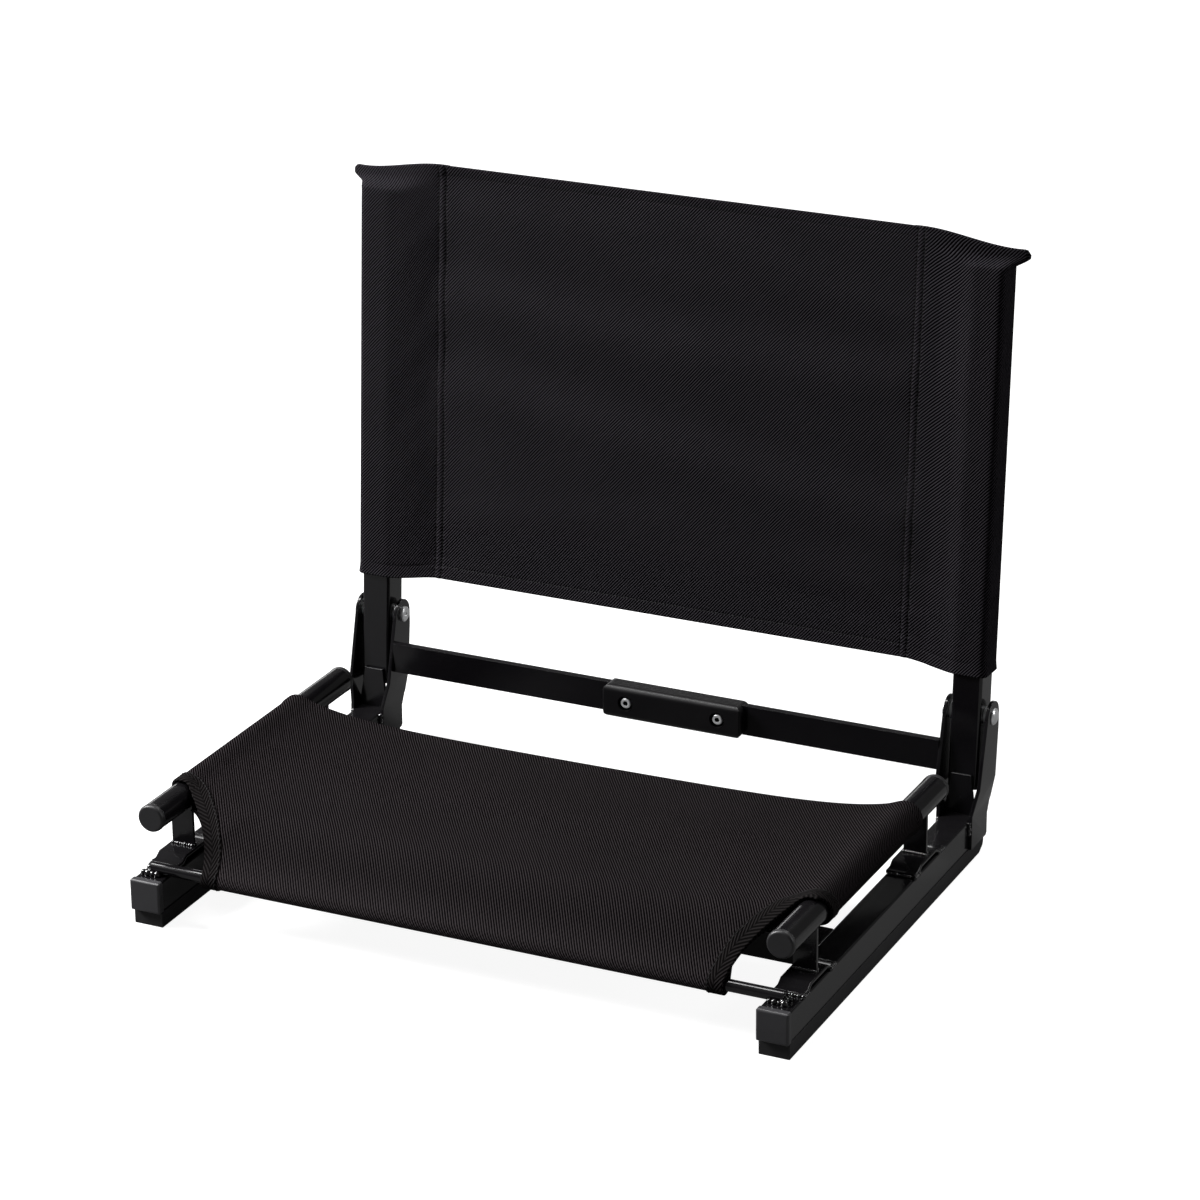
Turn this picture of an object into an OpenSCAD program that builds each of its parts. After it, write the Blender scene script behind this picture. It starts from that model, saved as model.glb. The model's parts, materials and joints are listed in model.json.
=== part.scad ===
// Folding bleacher seat.
// Two square base rails on rubber strips carry a sling seat on two round tubes.
// A second sling on two square posts folds forward on rivets between hinge ears.
// Millimetres. X is the width, Y runs from the front to the back, Z is up.

/* [Base] */
// Distance between the centre lines of the two base rails
rail_gauge = 529; // [420:1:620]
// Overall length of a base rail with its two end caps
rail_length = 400; // [390:1:440]
// Side of the square rail tube
rail_size = 25; // [22:0.5:30]
// Wall of the square rail tube
rail_wall = 1.5; // [1:0.1:2.5]
// Height of the rubber strip under each rail
foot_height = 13.5; // [8:0.5:20]
// Distance from the cap's front face to the strip's front end
foot_inset = 4.5; // [2:0.5:10]
// Length of the slope at the strip's lower rear corner
foot_slope = 9; // [4:0.5:14]
// Length of the head of a rail's front cap
cap_head = 6; // [4:0.5:9]
// How far the front cap stands out past the rail's faces
cap_over = 0.75; // [0.3:0.05:1.5]
// Rounding of the front cap's outer edges
cap_round = 2.2; // [1:0.1:3]

/* [Cross members] */
// Diameter of the round rod across the front
rod_d = 9.5; // [8:0.5:12]
// How much longer the rod is than the distance between the rails' centre lines
rod_over = 5; // [-7:0.5:11]
// Distance from the front to the rod's axis
rod_y = 19; // [16:0.5:22]
// Distance from the front to the tube between the rails
brace_y = 122; // [110:1:150]
// Height of the flat bar between the hinge ears
bar_height = 25.5; // [20:0.5:27]
// Thickness of the flat bar
bar_thick = 6; // [5:0.5:8]
// Height of the flat bar's lower edge above the ground
bar_z = 72.5; // [70:0.5:76]
// Distance from the flat bar's front face to the hinge axis
bar_set = 19.5; // [17:0.5:21]

/* [Seat tubes] */
// Outer diameter of a seat tube
tube_d = 22; // [19:0.5:24]
// Wall of a seat tube
tube_wall = 1.5; // [1:0.1:2.5]
// Height of the seat tubes' axis above the ground at the front
tube_z = 86.5; // [86:0.5:88]
// Angle by which the seat tubes fall to the rear
seat_tilt = 0.5; // [0:0.1:0.8]
// Distance from the front to a tube's front cap
tube_y0 = 14; // [10:0.5:20]
// Distance from a tube's rear cap to the rails' rear ends
tube_rear = 75; // [65:0.5:88]
// Length of a tube cap's head
tube_cap_head = 5; // [3:0.5:7]
// How far a tube cap's lip stands out past the tube
tube_cap_over = 0.2; // [0.1:0.05:1]

/* [Seat supports] */
// Width of the upright flat under a seat tube
strap_width = 19; // [15:0.5:21]
// Thickness of the upright flat
strap_thick = 3; // [2:0.5:4]
// Distance from the front to the front upright
strap_y_front = 61; // [58:0.5:68]
// Distance from the rear upright to the tube's rear cap
strap_rear = 44; // [33:0.5:50]
// Thickness of the bent saddle plate
saddle_thick = 3; // [2:0.5:4]
// Height of the saddle's top above the rail
saddle_rise = 6.5; // [5:0.5:9]
// Width of the saddle plate
saddle_width = 25; // [20:0.5:25]

/* [Hinge] */
// Distance from the hinge axis to the rails' rear ends
hinge_inset = 1.5; // [-1:0.5:4]
// Height of the hinge axis above the ground
pivot_z = 118; // [115:0.5:121]
// Diameter of the hinge rivet's shank
rivet_d = 8; // [6:0.5:10]
// Diameter of the rivet's outer head
rivet_head_d = 14; // [12:0.5:16]
// Running clearance around the rivet in the post, on the radius
pivot_clear = 0.06; // [0.02:0.01:0.09]
// Thickness of a hinge ear
ear_thick = 3; // [2:0.5:4]
// Radius of the ear's rounded top
ear_round = 12.5; // [12:0.5:14]
// Free width between a post and the ear beside it
ear_gap = 3.9; // [3:0.1:5]
// Height of the stop plate's top edge above the ground
stop_top = 71; // [68:0.5:74]
// Thickness of the stop plate
stop_thick = 3; // [2:0.5:4]
// Gap between the resting post and the stop plate
stop_gap = 0.05; // [0.02:0.01:0.2]

/* [Back] */
// Side of the square back post
post_size = 25; // [22:0.5:26]
// Wall of the back post
post_wall = 1.5; // [1:0.1:2.5]
// Corner radius of the square back post
post_round = 2.5; // [1:0.1:4]
// Angle by which the back leans to the rear
recline = 4; // [2:0.5:8]
// Length of a post above the hinge axis
post_up = 366; // [350:1:368]
// Length of a post below the hinge axis
post_down = 60; // [52:0.5:62]

/* [Handle] */
// Length of the moulded grip
grip_length = 124; // [100:1:140]
// Offset of the grip from the middle of the bar
grip_offset = 15; // [-20:1:30]
// Height of the moulded grip
grip_height = 28.5; // [28:0.5:32]
// Thickness of the grip in front of the bar
grip_front = 9; // [7:0.5:12]
// Thickness of the grip behind the bar
grip_back = 3.5; // [2.5:0.5:6]
// Distance between the two grip screws
screw_pitch = 82; // [60:1:90]
// Diameter of a screw's head
screw_head_d = 9; // [7:0.5:10]
// Diameter of the counterbore around a screw's head
counterbore_d = 13; // [11:0.5:15]
// Depth of the counterbore
counterbore_depth = 4.5; // [4:0.5:6.5]
// Radius of the grip's corners, seen from the front
grip_round = 7; // [2:0.5:8]

/* [Cloth] */
// Thickness of the sling cloth
cloth = 1.4; // [1:0.1:2]
// Clearance between the cloth and the tube inside it
cloth_gap = 0.4; // [0.3:0.05:1]
// Clearance between the back sling's cloth and the post inside it
back_gap = 1.5; // [0.4:0.1:1.6]
// Distance from the front to the seat sling's front edge beside the tubes
sleeve_y0 = 67; // [64:1:76]
// How much farther back that edge lies on the outer side of a tube
sleeve_slant = 10; // [6:0.5:14]
// Distance from the seat sling's rear edge to the tubes' rear caps
sleeve_rear = 69; // [63:1:85]
// How far the seat sling sits forward on the left and back on the right
sling_skew = 5; // [0:0.5:6]
// Height of the seat sling's middle above the ground at the front
seat_z = 83; // [80:0.5:88]
// Distance from a rail's centre line to the seat sling's edge at the front rod
apron_in = 45; // [40.5:0.5:64]
// Width of the woven tape along the seat sling's corner cut-outs
tape_width = 13; // [9:0.5:16]
// Thickness of the woven tape
tape_thick = 0.9; // [0.6:0.1:1.4]
// Distance from a post's middle to the back sling's seam beside it
seam_in = 56.5; // [50:0.5:74]
// Set-back of the back sling's panel from the middle of the post
panel_u = -7; // [-10:0.5:0]
// Distance from the hinge axis to the back sling's lower edge
sling_low = 40; // [34:0.5:50]
// Distance from the hinge axis to the back sling's top edge
sling_top = 390.5; // [388:0.5:396]
// Height of the shallow creases across the back sling
crease = 1.2; // [0:0.1:2.5]

/* [View] */
// Sub-part to draw, a name from the list below or all of them

/* [Hidden] */
$fn = 64;
gx = rail_gauge/2;
rod_length = rail_gauge + rod_over;
pivot_y = rail_length - hinge_inset;
bar_y = pivot_y - bar_set;
tube_y1 = rail_length - tube_rear;
strap_y_rear = tube_y1 - strap_rear;
sleeve_y1 = tube_y1 - sleeve_rear;
apron_half = gx - apron_in;
seam_half = gx - seam_in;
rs = rail_size/2;
rail_z0 = foot_height;
rail_z1 = foot_height + rail_size;
rear_head = 4;
rail_y0 = cap_head;
rail_y1 = rail_length - rear_head;
tube_r = tube_d/2;
saddle_z = rail_z1 + saddle_rise;
post_r = post_size/2;
ear_in = post_r + ear_gap;
ear_out = ear_in + ear_thick;
steel = [0.05, 0.05, 0.055];
plastic = [0.09, 0.09, 0.095];
rubber = [0.07, 0.07, 0.07];
zinc = [0.75, 0.76, 0.78];
canvas = [0.04, 0.04, 0.045];
binding = [0.07, 0.07, 0.075];

// Puts a piece drawn from the front face and the ground into the shared frame
module place() {
    translate([0, -depth/2, 0]) children();
}

// Leans a piece on the seat tubes back by the seat's angle
module seat_frame() {
    place() translate([0, tube_y0, tube_z]) rotate([-seat_tilt, 0, 0])
        translate([0, -tube_y0, -tube_z]) children();
}

// Puts a piece drawn in the post's own directions onto the hinge axis
module on_hinge() {
    place() translate([0, pivot_y, pivot_z]) rotate([-recline, 0, 0]) children();
}

// A square with rounded corners
module rounded_square(s, r) {
    difference() {
        square([s, s], center = true);
        for (a = [0 : 90 : 270]) rotate(a) translate([s/2 - r, s/2 - r]) difference() {
            square([r + 1, r + 1]);
            circle(r);
        }
    }
}

// A length of square tube along Y, centred on X and Z
module square_tube(s, w, len, r) {
    rotate([90, 0, 0]) translate([0, 0, -len]) linear_extrude(len) difference() {
        rounded_square(s, r);
        rounded_square(s - 2*w, max(r - w, 0.6));
    }
}

// A solid cylinder along Y that starts at y
module rod_along_y(d, y, len) {
    translate([0, y, 0]) rotate([-90, 0, 0]) cylinder(d = d, h = len);
}

// A profile drawn as Y and Z, carried along X from x0 to x1
module along_x(x0, x1) {
    translate([x0, 0, 0]) rotate([90, 0, 90]) linear_extrude(x1 - x0) children();
}

// A weld bead in the corner between the rail's top and the front rod
module rod_bead(side) {
    k = rod_d/9.5;
    along_x(side*gx - 9*k, side*gx + min(5*k, rod_over/2)) translate([rod_y, rail_z1]) difference() {
        polygon([[-6.5*k, 0], [6.5*k, 0], [4.2*k, 3.4*k], [-4.2*k, 3.4*k]]);
        translate([0, rod_d/2]) circle(d = rod_d - 0.02);
    }
}

// A hollow plug along Z that fits a square tube
module hollow_plug(size, len) {
    linear_extrude(len) difference() {
        rounded_square(size, 1.3);
        square(size - 4, center = true);
    }
}

// Base rail: square steel tube
module base_rail(side) {
    color(steel) place() translate([side*gx, rail_y0, rail_z0 + rs])
        square_tube(rail_size, rail_wall, rail_y1 - rail_y0, 2);
}

// Front cap: a head with rounded edges and a hollow plug in the rail
module rail_front_cap(side) {
    s = rail_size + 2*cap_over;
    r = cap_round;
    plug = rail_size - 2*rail_wall - 0.2;
    color(plastic) place() translate([side*gx, 0, rail_z0 + rs]) {
        intersection() {
            rotate([90, 0, 0]) translate([0, 0, -cap_head]) linear_extrude(cap_head) rounded_square(s, r);
            translate([0, s/2, -s]) linear_extrude(2*s) rounded_square(s, r);
            translate([-s, s/2, 0]) rotate([90, 0, 90]) linear_extrude(2*s) rounded_square(s, r);
        }
        translate([0, cap_head + 15, 0]) rotate([90, 0, 0]) hollow_plug(plug, 16);
    }
}

// Rear cap: a flat head between the hinge ears and a plug in the rail
module rail_rear_cap(side) {
    plug = rail_size - 2*rail_wall - 0.2;
    color(plastic) place() translate([side*gx, 0, rail_z0 + rs]) {
        translate([-rs + 0.1, rail_y1, -rs + 0.1]) cube([rail_size - 0.2, rear_head, rail_size - 0.2]);
        translate([0, rail_y1 + 1, 0]) rotate([90, 0, 0]) hollow_plug(plug, 16);
    }
}

// Rubber strip under a rail
module foot_strip(side) {
    y1 = rail_length + 1;
    step = max(cap_head, foot_inset) + 0.1;
    under = foot_height - cap_over - 0.1;
    color(rubber) place() along_x(side*gx - rs, side*gx + rs)
        polygon([[foot_inset, 0], [y1 - foot_slope, 0], [y1 - 1.5, foot_slope*0.45], [y1, foot_slope*0.8],
            [y1, foot_height], [step, foot_height], [step, under], [foot_inset, under]]);
}

// Round rod across the front, resting on both rails, with its weld beads
module front_cross_rod() {
    color(steel) place() {
        translate([-rod_length/2, rod_y, rail_z1 + rod_d/2]) rotate([0, 90, 0])
            cylinder(d = rod_d, h = rod_length);
        for (s = [-1, 1]) rod_bead(s);
    }
}

// Square tube between the rails below the seat
module under_seat_brace() {
    len = rail_gauge - rail_size;
    color(steel) place() translate([-len/2, brace_y + rs, rail_z0 + rs]) rotate([0, 0, -90])
        square_tube(rail_size, rail_wall, len, 2);
}

// Bent saddle plate that straddles the rail's top below an upright
module saddle(side, y) {
    t = saddle_thick;
    h = saddle_rise;
    f = 30;
    color(steel) place() translate([0, y, rail_z1]) along_x(side*gx - saddle_width/2,
        side*gx + saddle_width/2)
        polygon([[-f, 0], [-f + 9.6, 0], [-f + 15, h - t], [f - 16, h - t], [f - 10.6, 0],
            [f - 1, 0], [f - 1, t], [f - 9, t], [f - 14.6, h], [-f + 13.6, h], [-f + 8, t], [-f, t]]);
}

// Upright flat from a saddle to the seat tube, shaped to the tube at its top
module strap(side, y) {
    color(steel) difference() {
        place() translate([side*gx - strap_width/2, y, saddle_z])
            cube([strap_width, strap_thick, tube_z - (y - tube_y0)*tan(seat_tilt) - saddle_z]);
        seat_frame() translate([side*gx, 0, tube_z]) rod_along_y(tube_d, y - 20, 50);
    }
}

// Round seat tube
module seat_tube(side) {
    y0 = tube_y0 + tube_cap_head;
    len = tube_y1 - tube_cap_head - y0;
    color(steel) seat_frame() translate([side*gx, 0, tube_z]) difference() {
        rod_along_y(tube_d, y0, len);
        rod_along_y(tube_d - 2*tube_wall, y0 - 1, len + 2);
    }
}

// Turned outline of a seat tube's cap, its head first
module tube_cap() {
    r = tube_r + tube_cap_over;
    p = tube_r - tube_wall - 0.05;
    h = tube_cap_head;
    rotate_extrude() polygon([[0, 0], [r - 2, 0], [r - 1.1, 0.25], [r - 0.3, 1], [r, 2], [r, h - 0.5],
        [tube_r, h], [p, h], [p, h + 13], [p - 2, h + 13], [p - 2, h + 1.5], [0, h + 1.5]]);
}

// Caps at the front ends of both seat tubes
module seat_tube_front_caps() {
    color(plastic) seat_frame() for (s = [-1, 1])
        translate([s*gx, tube_y0, tube_z]) rotate([-90, 0, 0]) tube_cap();
}

// Caps at the rear ends of both seat tubes
module seat_tube_rear_caps() {
    color(plastic) seat_frame() for (s = [-1, 1])
        translate([s*gx, tube_y1, tube_z]) rotate([90, 0, 0]) tube_cap();
}

// Hinge ear: a plate welded to the rail's side and set out beside the post
// out is 1 for the outer ear and -1 for the inner ear
module hinge_ear(side, out) {
    d = side*out;
    t = ear_thick;
    k = rail_size/25;
    z0 = rail_z0 + 0.5*k;
    bend = rail_z1 + 4.5*k;
    zt = pivot_z + ear_round;
    y = pivot_y;
    color(steel) place() difference() {
        intersection() {
            along_x(side*gx + d*(rs + 5*k) - 8*k, side*gx + d*(rs + 5*k) + 8*k) union() {
                polygon([[y - 32.5*k, z0], [y - 0.5*k, z0], [y + 1.5*k, z0 + 2*k], [y + 1.5*k, bend - 10*k],
                    [y + 7.5*k, bend + 2*k], [y + 8*k, bend + 20*k], [y + ear_round, pivot_z - 12*k],
                    [y + ear_round, pivot_z], [y - ear_round, pivot_z], [y - 32.5*k, bend - 2*k]]);
                translate([y, pivot_z]) circle(r = ear_round);
            }
            translate([side*gx, y + pivot_z/2, 0]) rotate([90, 0, 0]) linear_extrude(pivot_z)
                polygon([[d*rs, z0 - 1], [d*(rs + t), z0 - 1], [d*(rs + t), bend], [d*ear_out, bend + 21*k],
                    [d*ear_out, zt + 1], [d*ear_in, zt + 1], [d*ear_in, bend + 22*k], [d*rs, bend + k]]);
        }
        translate([side*gx - 2*ear_out, y, pivot_z]) rotate([0, 90, 0])
            cylinder(d = rivet_d + 0.04, h = 4*ear_out);
    }
}

// Stop plate between the ears, in front of the post's lower end
module stop_plate(side) {
    low = -(pivot_z - rail_z1) - 6;
    v1 = (stop_top - pivot_z)/cos(recline);
    color(steel) difference() {
        on_hinge() translate([side*gx, -post_r - stop_gap, 0]) rotate([90, 0, 0])
            linear_extrude(stop_thick) polygon([[-12.3, low], [12.3, low], [12.3, v1 - 27],
                [11.4, v1 - 21], [10, v1 - 12], [8.4, v1], [-8.4, v1], [-10, v1 - 12],
                [-11.4, v1 - 21], [-12.3, v1 - 27]]);
        place() translate([-rail_gauge, pivot_y - pivot_z/2, rail_z1 - rail_size])
            cube([2*rail_gauge, pivot_z, rail_size]);
    }
}

// Hinge rivet through both ears and the post, with a domed outer head
module pivot_rivet(side) {
    r = rivet_d/2;
    hr = rivet_head_d/2;
    e = ear_out;
    translate([side*gx, pivot_y, pivot_z]) rotate([0, side*90, 0]) rotate_extrude()
        polygon([[0, -e - 2.2], [1.6, -e - 2.2], [2, -e - 3], [5.6, -e - 3], [6.5, -e - 2.2],
            [6.5, -e], [r, -e], [r, e], [hr, e], [hr, e + 0.9], [hr - 1.2, e + 2],
            [hr - 3.4, e + 2.8], [0, e + 3.2]]);
}

// Both hinge rivets
module pivot_rivets() {
    color(zinc) place() for (s = [-1, 1]) pivot_rivet(s);
}

// Spacer washers between the posts and the ears
module spacer_washers() {
    color(zinc) place() for (s = [-1, 1], d = [-1, 1])
        translate([s*gx + d*(post_r + ear_gap/2), pivot_y, pivot_z]) rotate([0, 90, 0])
            difference() {
                cylinder(d = rivet_head_d, h = ear_gap - 0.1, center = true);
                cylinder(d = rivet_d + 0.1, h = 10, center = true);
            }
}

// Flat bar between the inner ears, with the two threaded holes for the grip
module rear_cross_bar() {
    len = rail_gauge - 2*ear_out;
    color(steel) place() difference() {
        translate([-len/2, bar_y, bar_z]) cube([len, bar_thick, bar_height]);
        for (s = [-1, 1]) translate([grip_offset + s*screw_pitch/2, 0, bar_z + bar_height/2])
            rod_along_y(4.1, bar_y - 1, bar_thick + 2);
    }
}

// Outline of the grip in Y and Z, rounded, with fine grooves along its top
module grip_outline() {
    y0 = bar_y - grip_front;
    y1 = bar_y + bar_thick + grip_back;
    z0 = bar_z + bar_height/2 - grip_height/2 - 0.2;
    z1 = z0 + grip_height;
    f = 5;
    difference() {
        union() {
            translate([y0, z0 + f]) square([y1 - y0, grip_height - 2*f]);
            translate([y0 + f, z0]) square([y1 - y0 - f - 3, grip_height]);
            translate([y0 + f, z0 + f]) circle(f);
            translate([y0 + f, z1 - f]) circle(f);
            translate([y1 - 3, z0 + 3]) circle(3);
            translate([y1 - 3, z1 - 3]) circle(3);
            translate([y1 - 3, z0 + 3]) square([3, grip_height - 6]);
        }
        for (k = [0 : 3]) translate([y0 + f + 1.4 + k*2.4, z1]) circle(r = 0.5);
    }
}

// A rectangle of l by w with rounded corners
module rounded_plate(l, w, r) {
    square([l - 2*r, w], center = true);
    square([l, w - 2*r], center = true);
    for (x = [-1, 1], y = [-1, 1]) translate([x*(l/2 - r), y*(w/2 - r)]) circle(r);
}

// Moulded grip around the flat bar, with counterbores for its screws
module handle_grip() {
    zc = bar_z + bar_height/2;
    c = 0.1;
    l = grip_length/2;
    color(plastic) place() difference() {
        translate([grip_offset, 0, 0]) intersection() {
            along_x(-l, l) grip_outline();
            translate([0, bar_y + 30, zc - 0.2]) rotate([90, 0, 0]) linear_extrude(60)
                rounded_plate(grip_length, grip_height, grip_round);
            translate([0, bar_y - grip_front + 20, zc - 30]) linear_extrude(60)
                rounded_plate(grip_length, 40, 3);
        }
        translate([grip_offset - l - 1, bar_y - c, bar_z - c])
            cube([2*l + 2, bar_thick + 2*c, bar_height + 2*c]);
        for (s = [-1, 1]) translate([grip_offset + s*screw_pitch/2, 0, zc]) {
            rod_along_y(counterbore_d, bar_y - grip_front - 1, counterbore_depth + 1);
            rod_along_y(4.4, bar_y - grip_front, grip_front + 0.5);
        }
    }
}

// Two socket screws that hold the grip on the bar
module grip_screws() {
    y0 = bar_y - grip_front + counterbore_depth;
    color(zinc) place() for (s = [-1, 1])
        translate([grip_offset + s*screw_pitch/2, y0, bar_z + bar_height/2]) rotate([-90, 0, 0])
            difference() {
                union() {
                    translate([0, 0, -3]) cylinder(d = screw_head_d, h = 3);
                    translate([0, 0, -3.6]) cylinder(d1 = screw_head_d - 1.4, d2 = screw_head_d, h = 0.6);
                    cylinder(d = 4, h = bar_y + bar_thick - y0 - 0.4);
                }
                translate([0, 0, -4]) cylinder(d = 4.6, h = 3, $fn = 6);
            }
}

// Back post: square tube with a bore for the rivet through both side walls
module back_post(side) {
    color(steel) difference() {
        on_hinge() translate([side*gx, 0, -post_down + 3]) linear_extrude(post_down + post_up - 6)
            difference() {
                rounded_square(post_size, post_round);
                rounded_square(post_size - 2*post_wall, post_round - post_wall);
            }
        place() translate([side*gx - 2*post_size, pivot_y, pivot_z]) rotate([0, 90, 0])
            cylinder(r = rivet_d/2 + pivot_clear, h = 4*post_size);
    }
}

// Cap in a post's end, drawn with its head at the bottom
module post_cap() {
    plug = post_size - 2*post_wall - 0.2;
    linear_extrude(3) rounded_square(post_size, post_round);
    translate([0, 0, 2]) hollow_plug(plug, 13);
}

// Caps at the posts' upper ends, inside the sling
module post_top_caps() {
    color(plastic) on_hinge() for (s = [-1, 1])
        translate([s*gx, 0, post_up]) rotate([180, 0, 0]) post_cap();
}

// Caps at the posts' lower ends, behind the stop plates
module post_bottom_caps() {
    color(plastic) on_hinge() for (s = [-1, 1]) translate([s*gx, 0, -post_down]) post_cap();
}

// Slings.
// A sling is one sheet with a sleeve along each side. Every level holds an outer
// loop: the right sleeve from the panel's face round to its underside, the panel's
// underside, the left sleeve, and the panel's face. Each sleeve has an inner loop.
function mix(a, b, t) = a + (b - a)*t;
function smooth(t) = let (c = min(1, max(0, t))) c*c*(3 - 2*c);
function flip(p) = [-p[0], p[1], p[2]];
function rev(l) = [for (i = [len(l) - 1 : -1 : 0]) l[i]];
function turn(f, up) = up ? f : [f[0], f[2], f[1]];

// Inner line of a sleeve: the outer line o moved inwards by t, with its apex at p
function inner_line(o, t, p) = concat([p], [for (i = [1 : len(o) - 2])
    let (d = o[i + 1] - o[i - 1], n = norm([d[0], d[1]])) [o[i][0] + t*d[1]/n, o[i][1] - t*d[0]/n]]);

// Points of one level: o is the right sleeve's outer line, w its inner line,
// top and low are the panel's two faces from right to left
function level_points(o, w, top, low) =
    concat(o, low, [for (p = rev(o)) flip(p)], rev(top), w, [for (p = w) flip(p)]);

// Faces of a sling with n outer points on a sleeve, m panel columns and L levels.
// blind closes the sleeves before the last level
function sling_faces(n, m, L, blind) = let (
        N = 2*n + 2*m, W = n - 1, T = N + 2*W, e = L - 1, q = blind ? e - 1 : e,
        wr = function (k, i) k*T + N + (i % W),
        wl = function (k, i) k*T + N + W + (i % W),
        o = function (k, i) k*T + (i % N),
        r = function (k, i) k*T + i,
        l = function (k, i) k*T + 2*n + m - 1 - i,
        hi = function (k, j) k*T + (j == 0 ? 0 : j == m + 1 ? 2*n + m - 1 : N - j),
        lo = function (k, j) k*T + (j == 0 ? n - 1 : n - 1 + j)
    ) concat(
        [for (k = [0 : e - 1], i = [0 : N - 1], h = [0, 1])
            h == 0 ? [o(k, i), o(k + 1, i), o(k + 1, i + 1)] : [o(k, i), o(k + 1, i + 1), o(k, i + 1)]],
        [for (k = [0 : q - 1], i = [0 : W - 1], h = [0, 1])
            h == 0 ? [wr(k, i), wr(k + 1, i + 1), wr(k + 1, i)] : [wr(k, i), wr(k, i + 1), wr(k + 1, i + 1)]],
        [for (k = [0 : q - 1], i = [0 : W - 1], h = [0, 1])
            h == 0 ? [wl(k, i), wl(k + 1, i), wl(k + 1, i + 1)] : [wl(k, i), wl(k + 1, i + 1), wl(k, i + 1)]],
        ring_faces(0, n, wr, wl, r, l, false),
        blind ? concat(fan_faces(q, n, wr, wl), lid_faces(e, n, r, l)) : ring_faces(e, n, wr, wl, r, l, true),
        panel_faces(0, m, hi, lo, false),
        panel_faces(e, m, hi, lo, true));

// The ring between a sleeve's outer and inner lines, and the seam's small triangle
function ring_faces(k, n, wr, wl, r, l, up) = concat(
    [for (i = [0 : n - 2], h = [0, 1]) if (h == 0 || i < n - 1)
        h == 0 ? turn([r(k, i), wr(k, i), r(k, i + 1)], up)
               : turn([r(k, i + 1), wr(k, i), wr(k, i + 1)], up)],
    [for (i = [0 : n - 2], h = [0, 1]) if (h == 0 || i < n - 1)
        h == 0 ? turn([l(k, i), l(k, i + 1), wl(k, i)], up)
               : turn([l(k, i + 1), wl(k, i + 1), wl(k, i)], up)],
    [turn([r(k, 0), r(k, n - 1), wr(k, 0)], up), turn([l(k, 0), wl(k, 0), l(k, n - 1)], up)]);
// The panel's end between its two faces
function panel_faces(k, m, hi, lo, up) = [for (j = [0 : m], h = [0, 1])
    h == 0 ? turn([hi(k, j), hi(k, j + 1), lo(k, j + 1)], up) : turn([hi(k, j), lo(k, j + 1), lo(k, j)], up)];
// The inner end of a closed sleeve
function fan_faces(k, n, wr, wl) = let (W = n - 1) concat(
    [for (i = [1 : W - 2]) [wr(k, 0), wr(k, i), wr(k, i + 1)]],
    [for (i = [1 : W - 2]) [wl(k, 0), wl(k, i + 1), wl(k, i)]]);
// The outer end of a closed sleeve, for an even n
function lid_faces(k, n, r, l) = concat(
    [for (i = [0 : n/2 - 2], h = [0, 1]) let (j = n - 1 - i)
        h == 0 ? [r(k, i), r(k, j), r(k, i + 1)] : [r(k, i + 1), r(k, j), r(k, j - 1)]],
    [for (i = [0 : n/2 - 2], h = [0, 1]) let (j = n - 1 - i)
        h == 0 ? [l(k, i), l(k, i + 1), l(k, j)] : [l(k, i + 1), l(k, j - 1), l(k, j)]]);

// Faces of a sheet of R rows by C columns of points, its two sides one after the other
function sheet_faces(R, C) = let (
        a = function (i, j) i*C + j, b = function (i, j) R*C + i*C + j
    ) concat(
        [for (i = [0 : R - 2], j = [0 : C - 2], h = [0 : 3])
            h == 0 ? [a(i, j), a(i + 1, j), a(i + 1, j + 1)] : h == 1 ? [a(i, j), a(i + 1, j + 1), a(i, j + 1)]
            : h == 2 ? [b(i, j), b(i + 1, j + 1), b(i + 1, j)] : [b(i, j), b(i, j + 1), b(i + 1, j + 1)]],
        [for (i = [0 : R - 2], h = [0 : 3])
            h == 0 ? [a(i, 0), b(i, 0), b(i + 1, 0)] : h == 1 ? [a(i, 0), b(i + 1, 0), a(i + 1, 0)]
            : h == 2 ? [a(i, C - 1), b(i + 1, C - 1), b(i, C - 1)]
            : [a(i, C - 1), a(i + 1, C - 1), b(i + 1, C - 1)]],
        [for (j = [0 : C - 2], h = [0 : 3])
            h == 0 ? [a(0, j), b(0, j + 1), b(0, j)] : h == 1 ? [a(0, j), a(0, j + 1), b(0, j + 1)]
            : h == 2 ? [a(R - 1, j), b(R - 1, j), b(R - 1, j + 1)]
            : [a(R - 1, j), b(R - 1, j + 1), a(R - 1, j + 1)]]);

// Back sling. x runs from the post's middle, h towards the front, v up the post.
// Outer line of the sleeve round the post, from the front seam to the rear seam
back_c = post_r - post_round;
back_r = post_round + back_gap + cloth;
back_o = back_c + back_r;
back_s = seam_half - gx;
back_round = [[back_s, -panel_u + cloth], [mix(back_s, -back_c, 0.36), mix(-panel_u + cloth, back_o, 0.3)],
    [mix(back_s, -back_c, 0.72), mix(-panel_u + cloth, back_o, 0.68)], [-back_c, back_o], [back_c, back_o],
    [back_c + 0.71*back_r, back_c + 0.71*back_r], [back_o, back_c], [back_o, -back_c],
    [back_c + 0.71*back_r, -back_c - 0.71*back_r], [back_c, -back_o], [-back_c - 1.5, -back_o],
    [mix(back_s, -back_c, 0.7), mix(-panel_u - cloth, -back_o, 0.68)],
    [mix(back_s, -back_c, 0.36), mix(-panel_u - cloth, -back_o, 0.33)], [back_s, -panel_u - cloth]];
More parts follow.
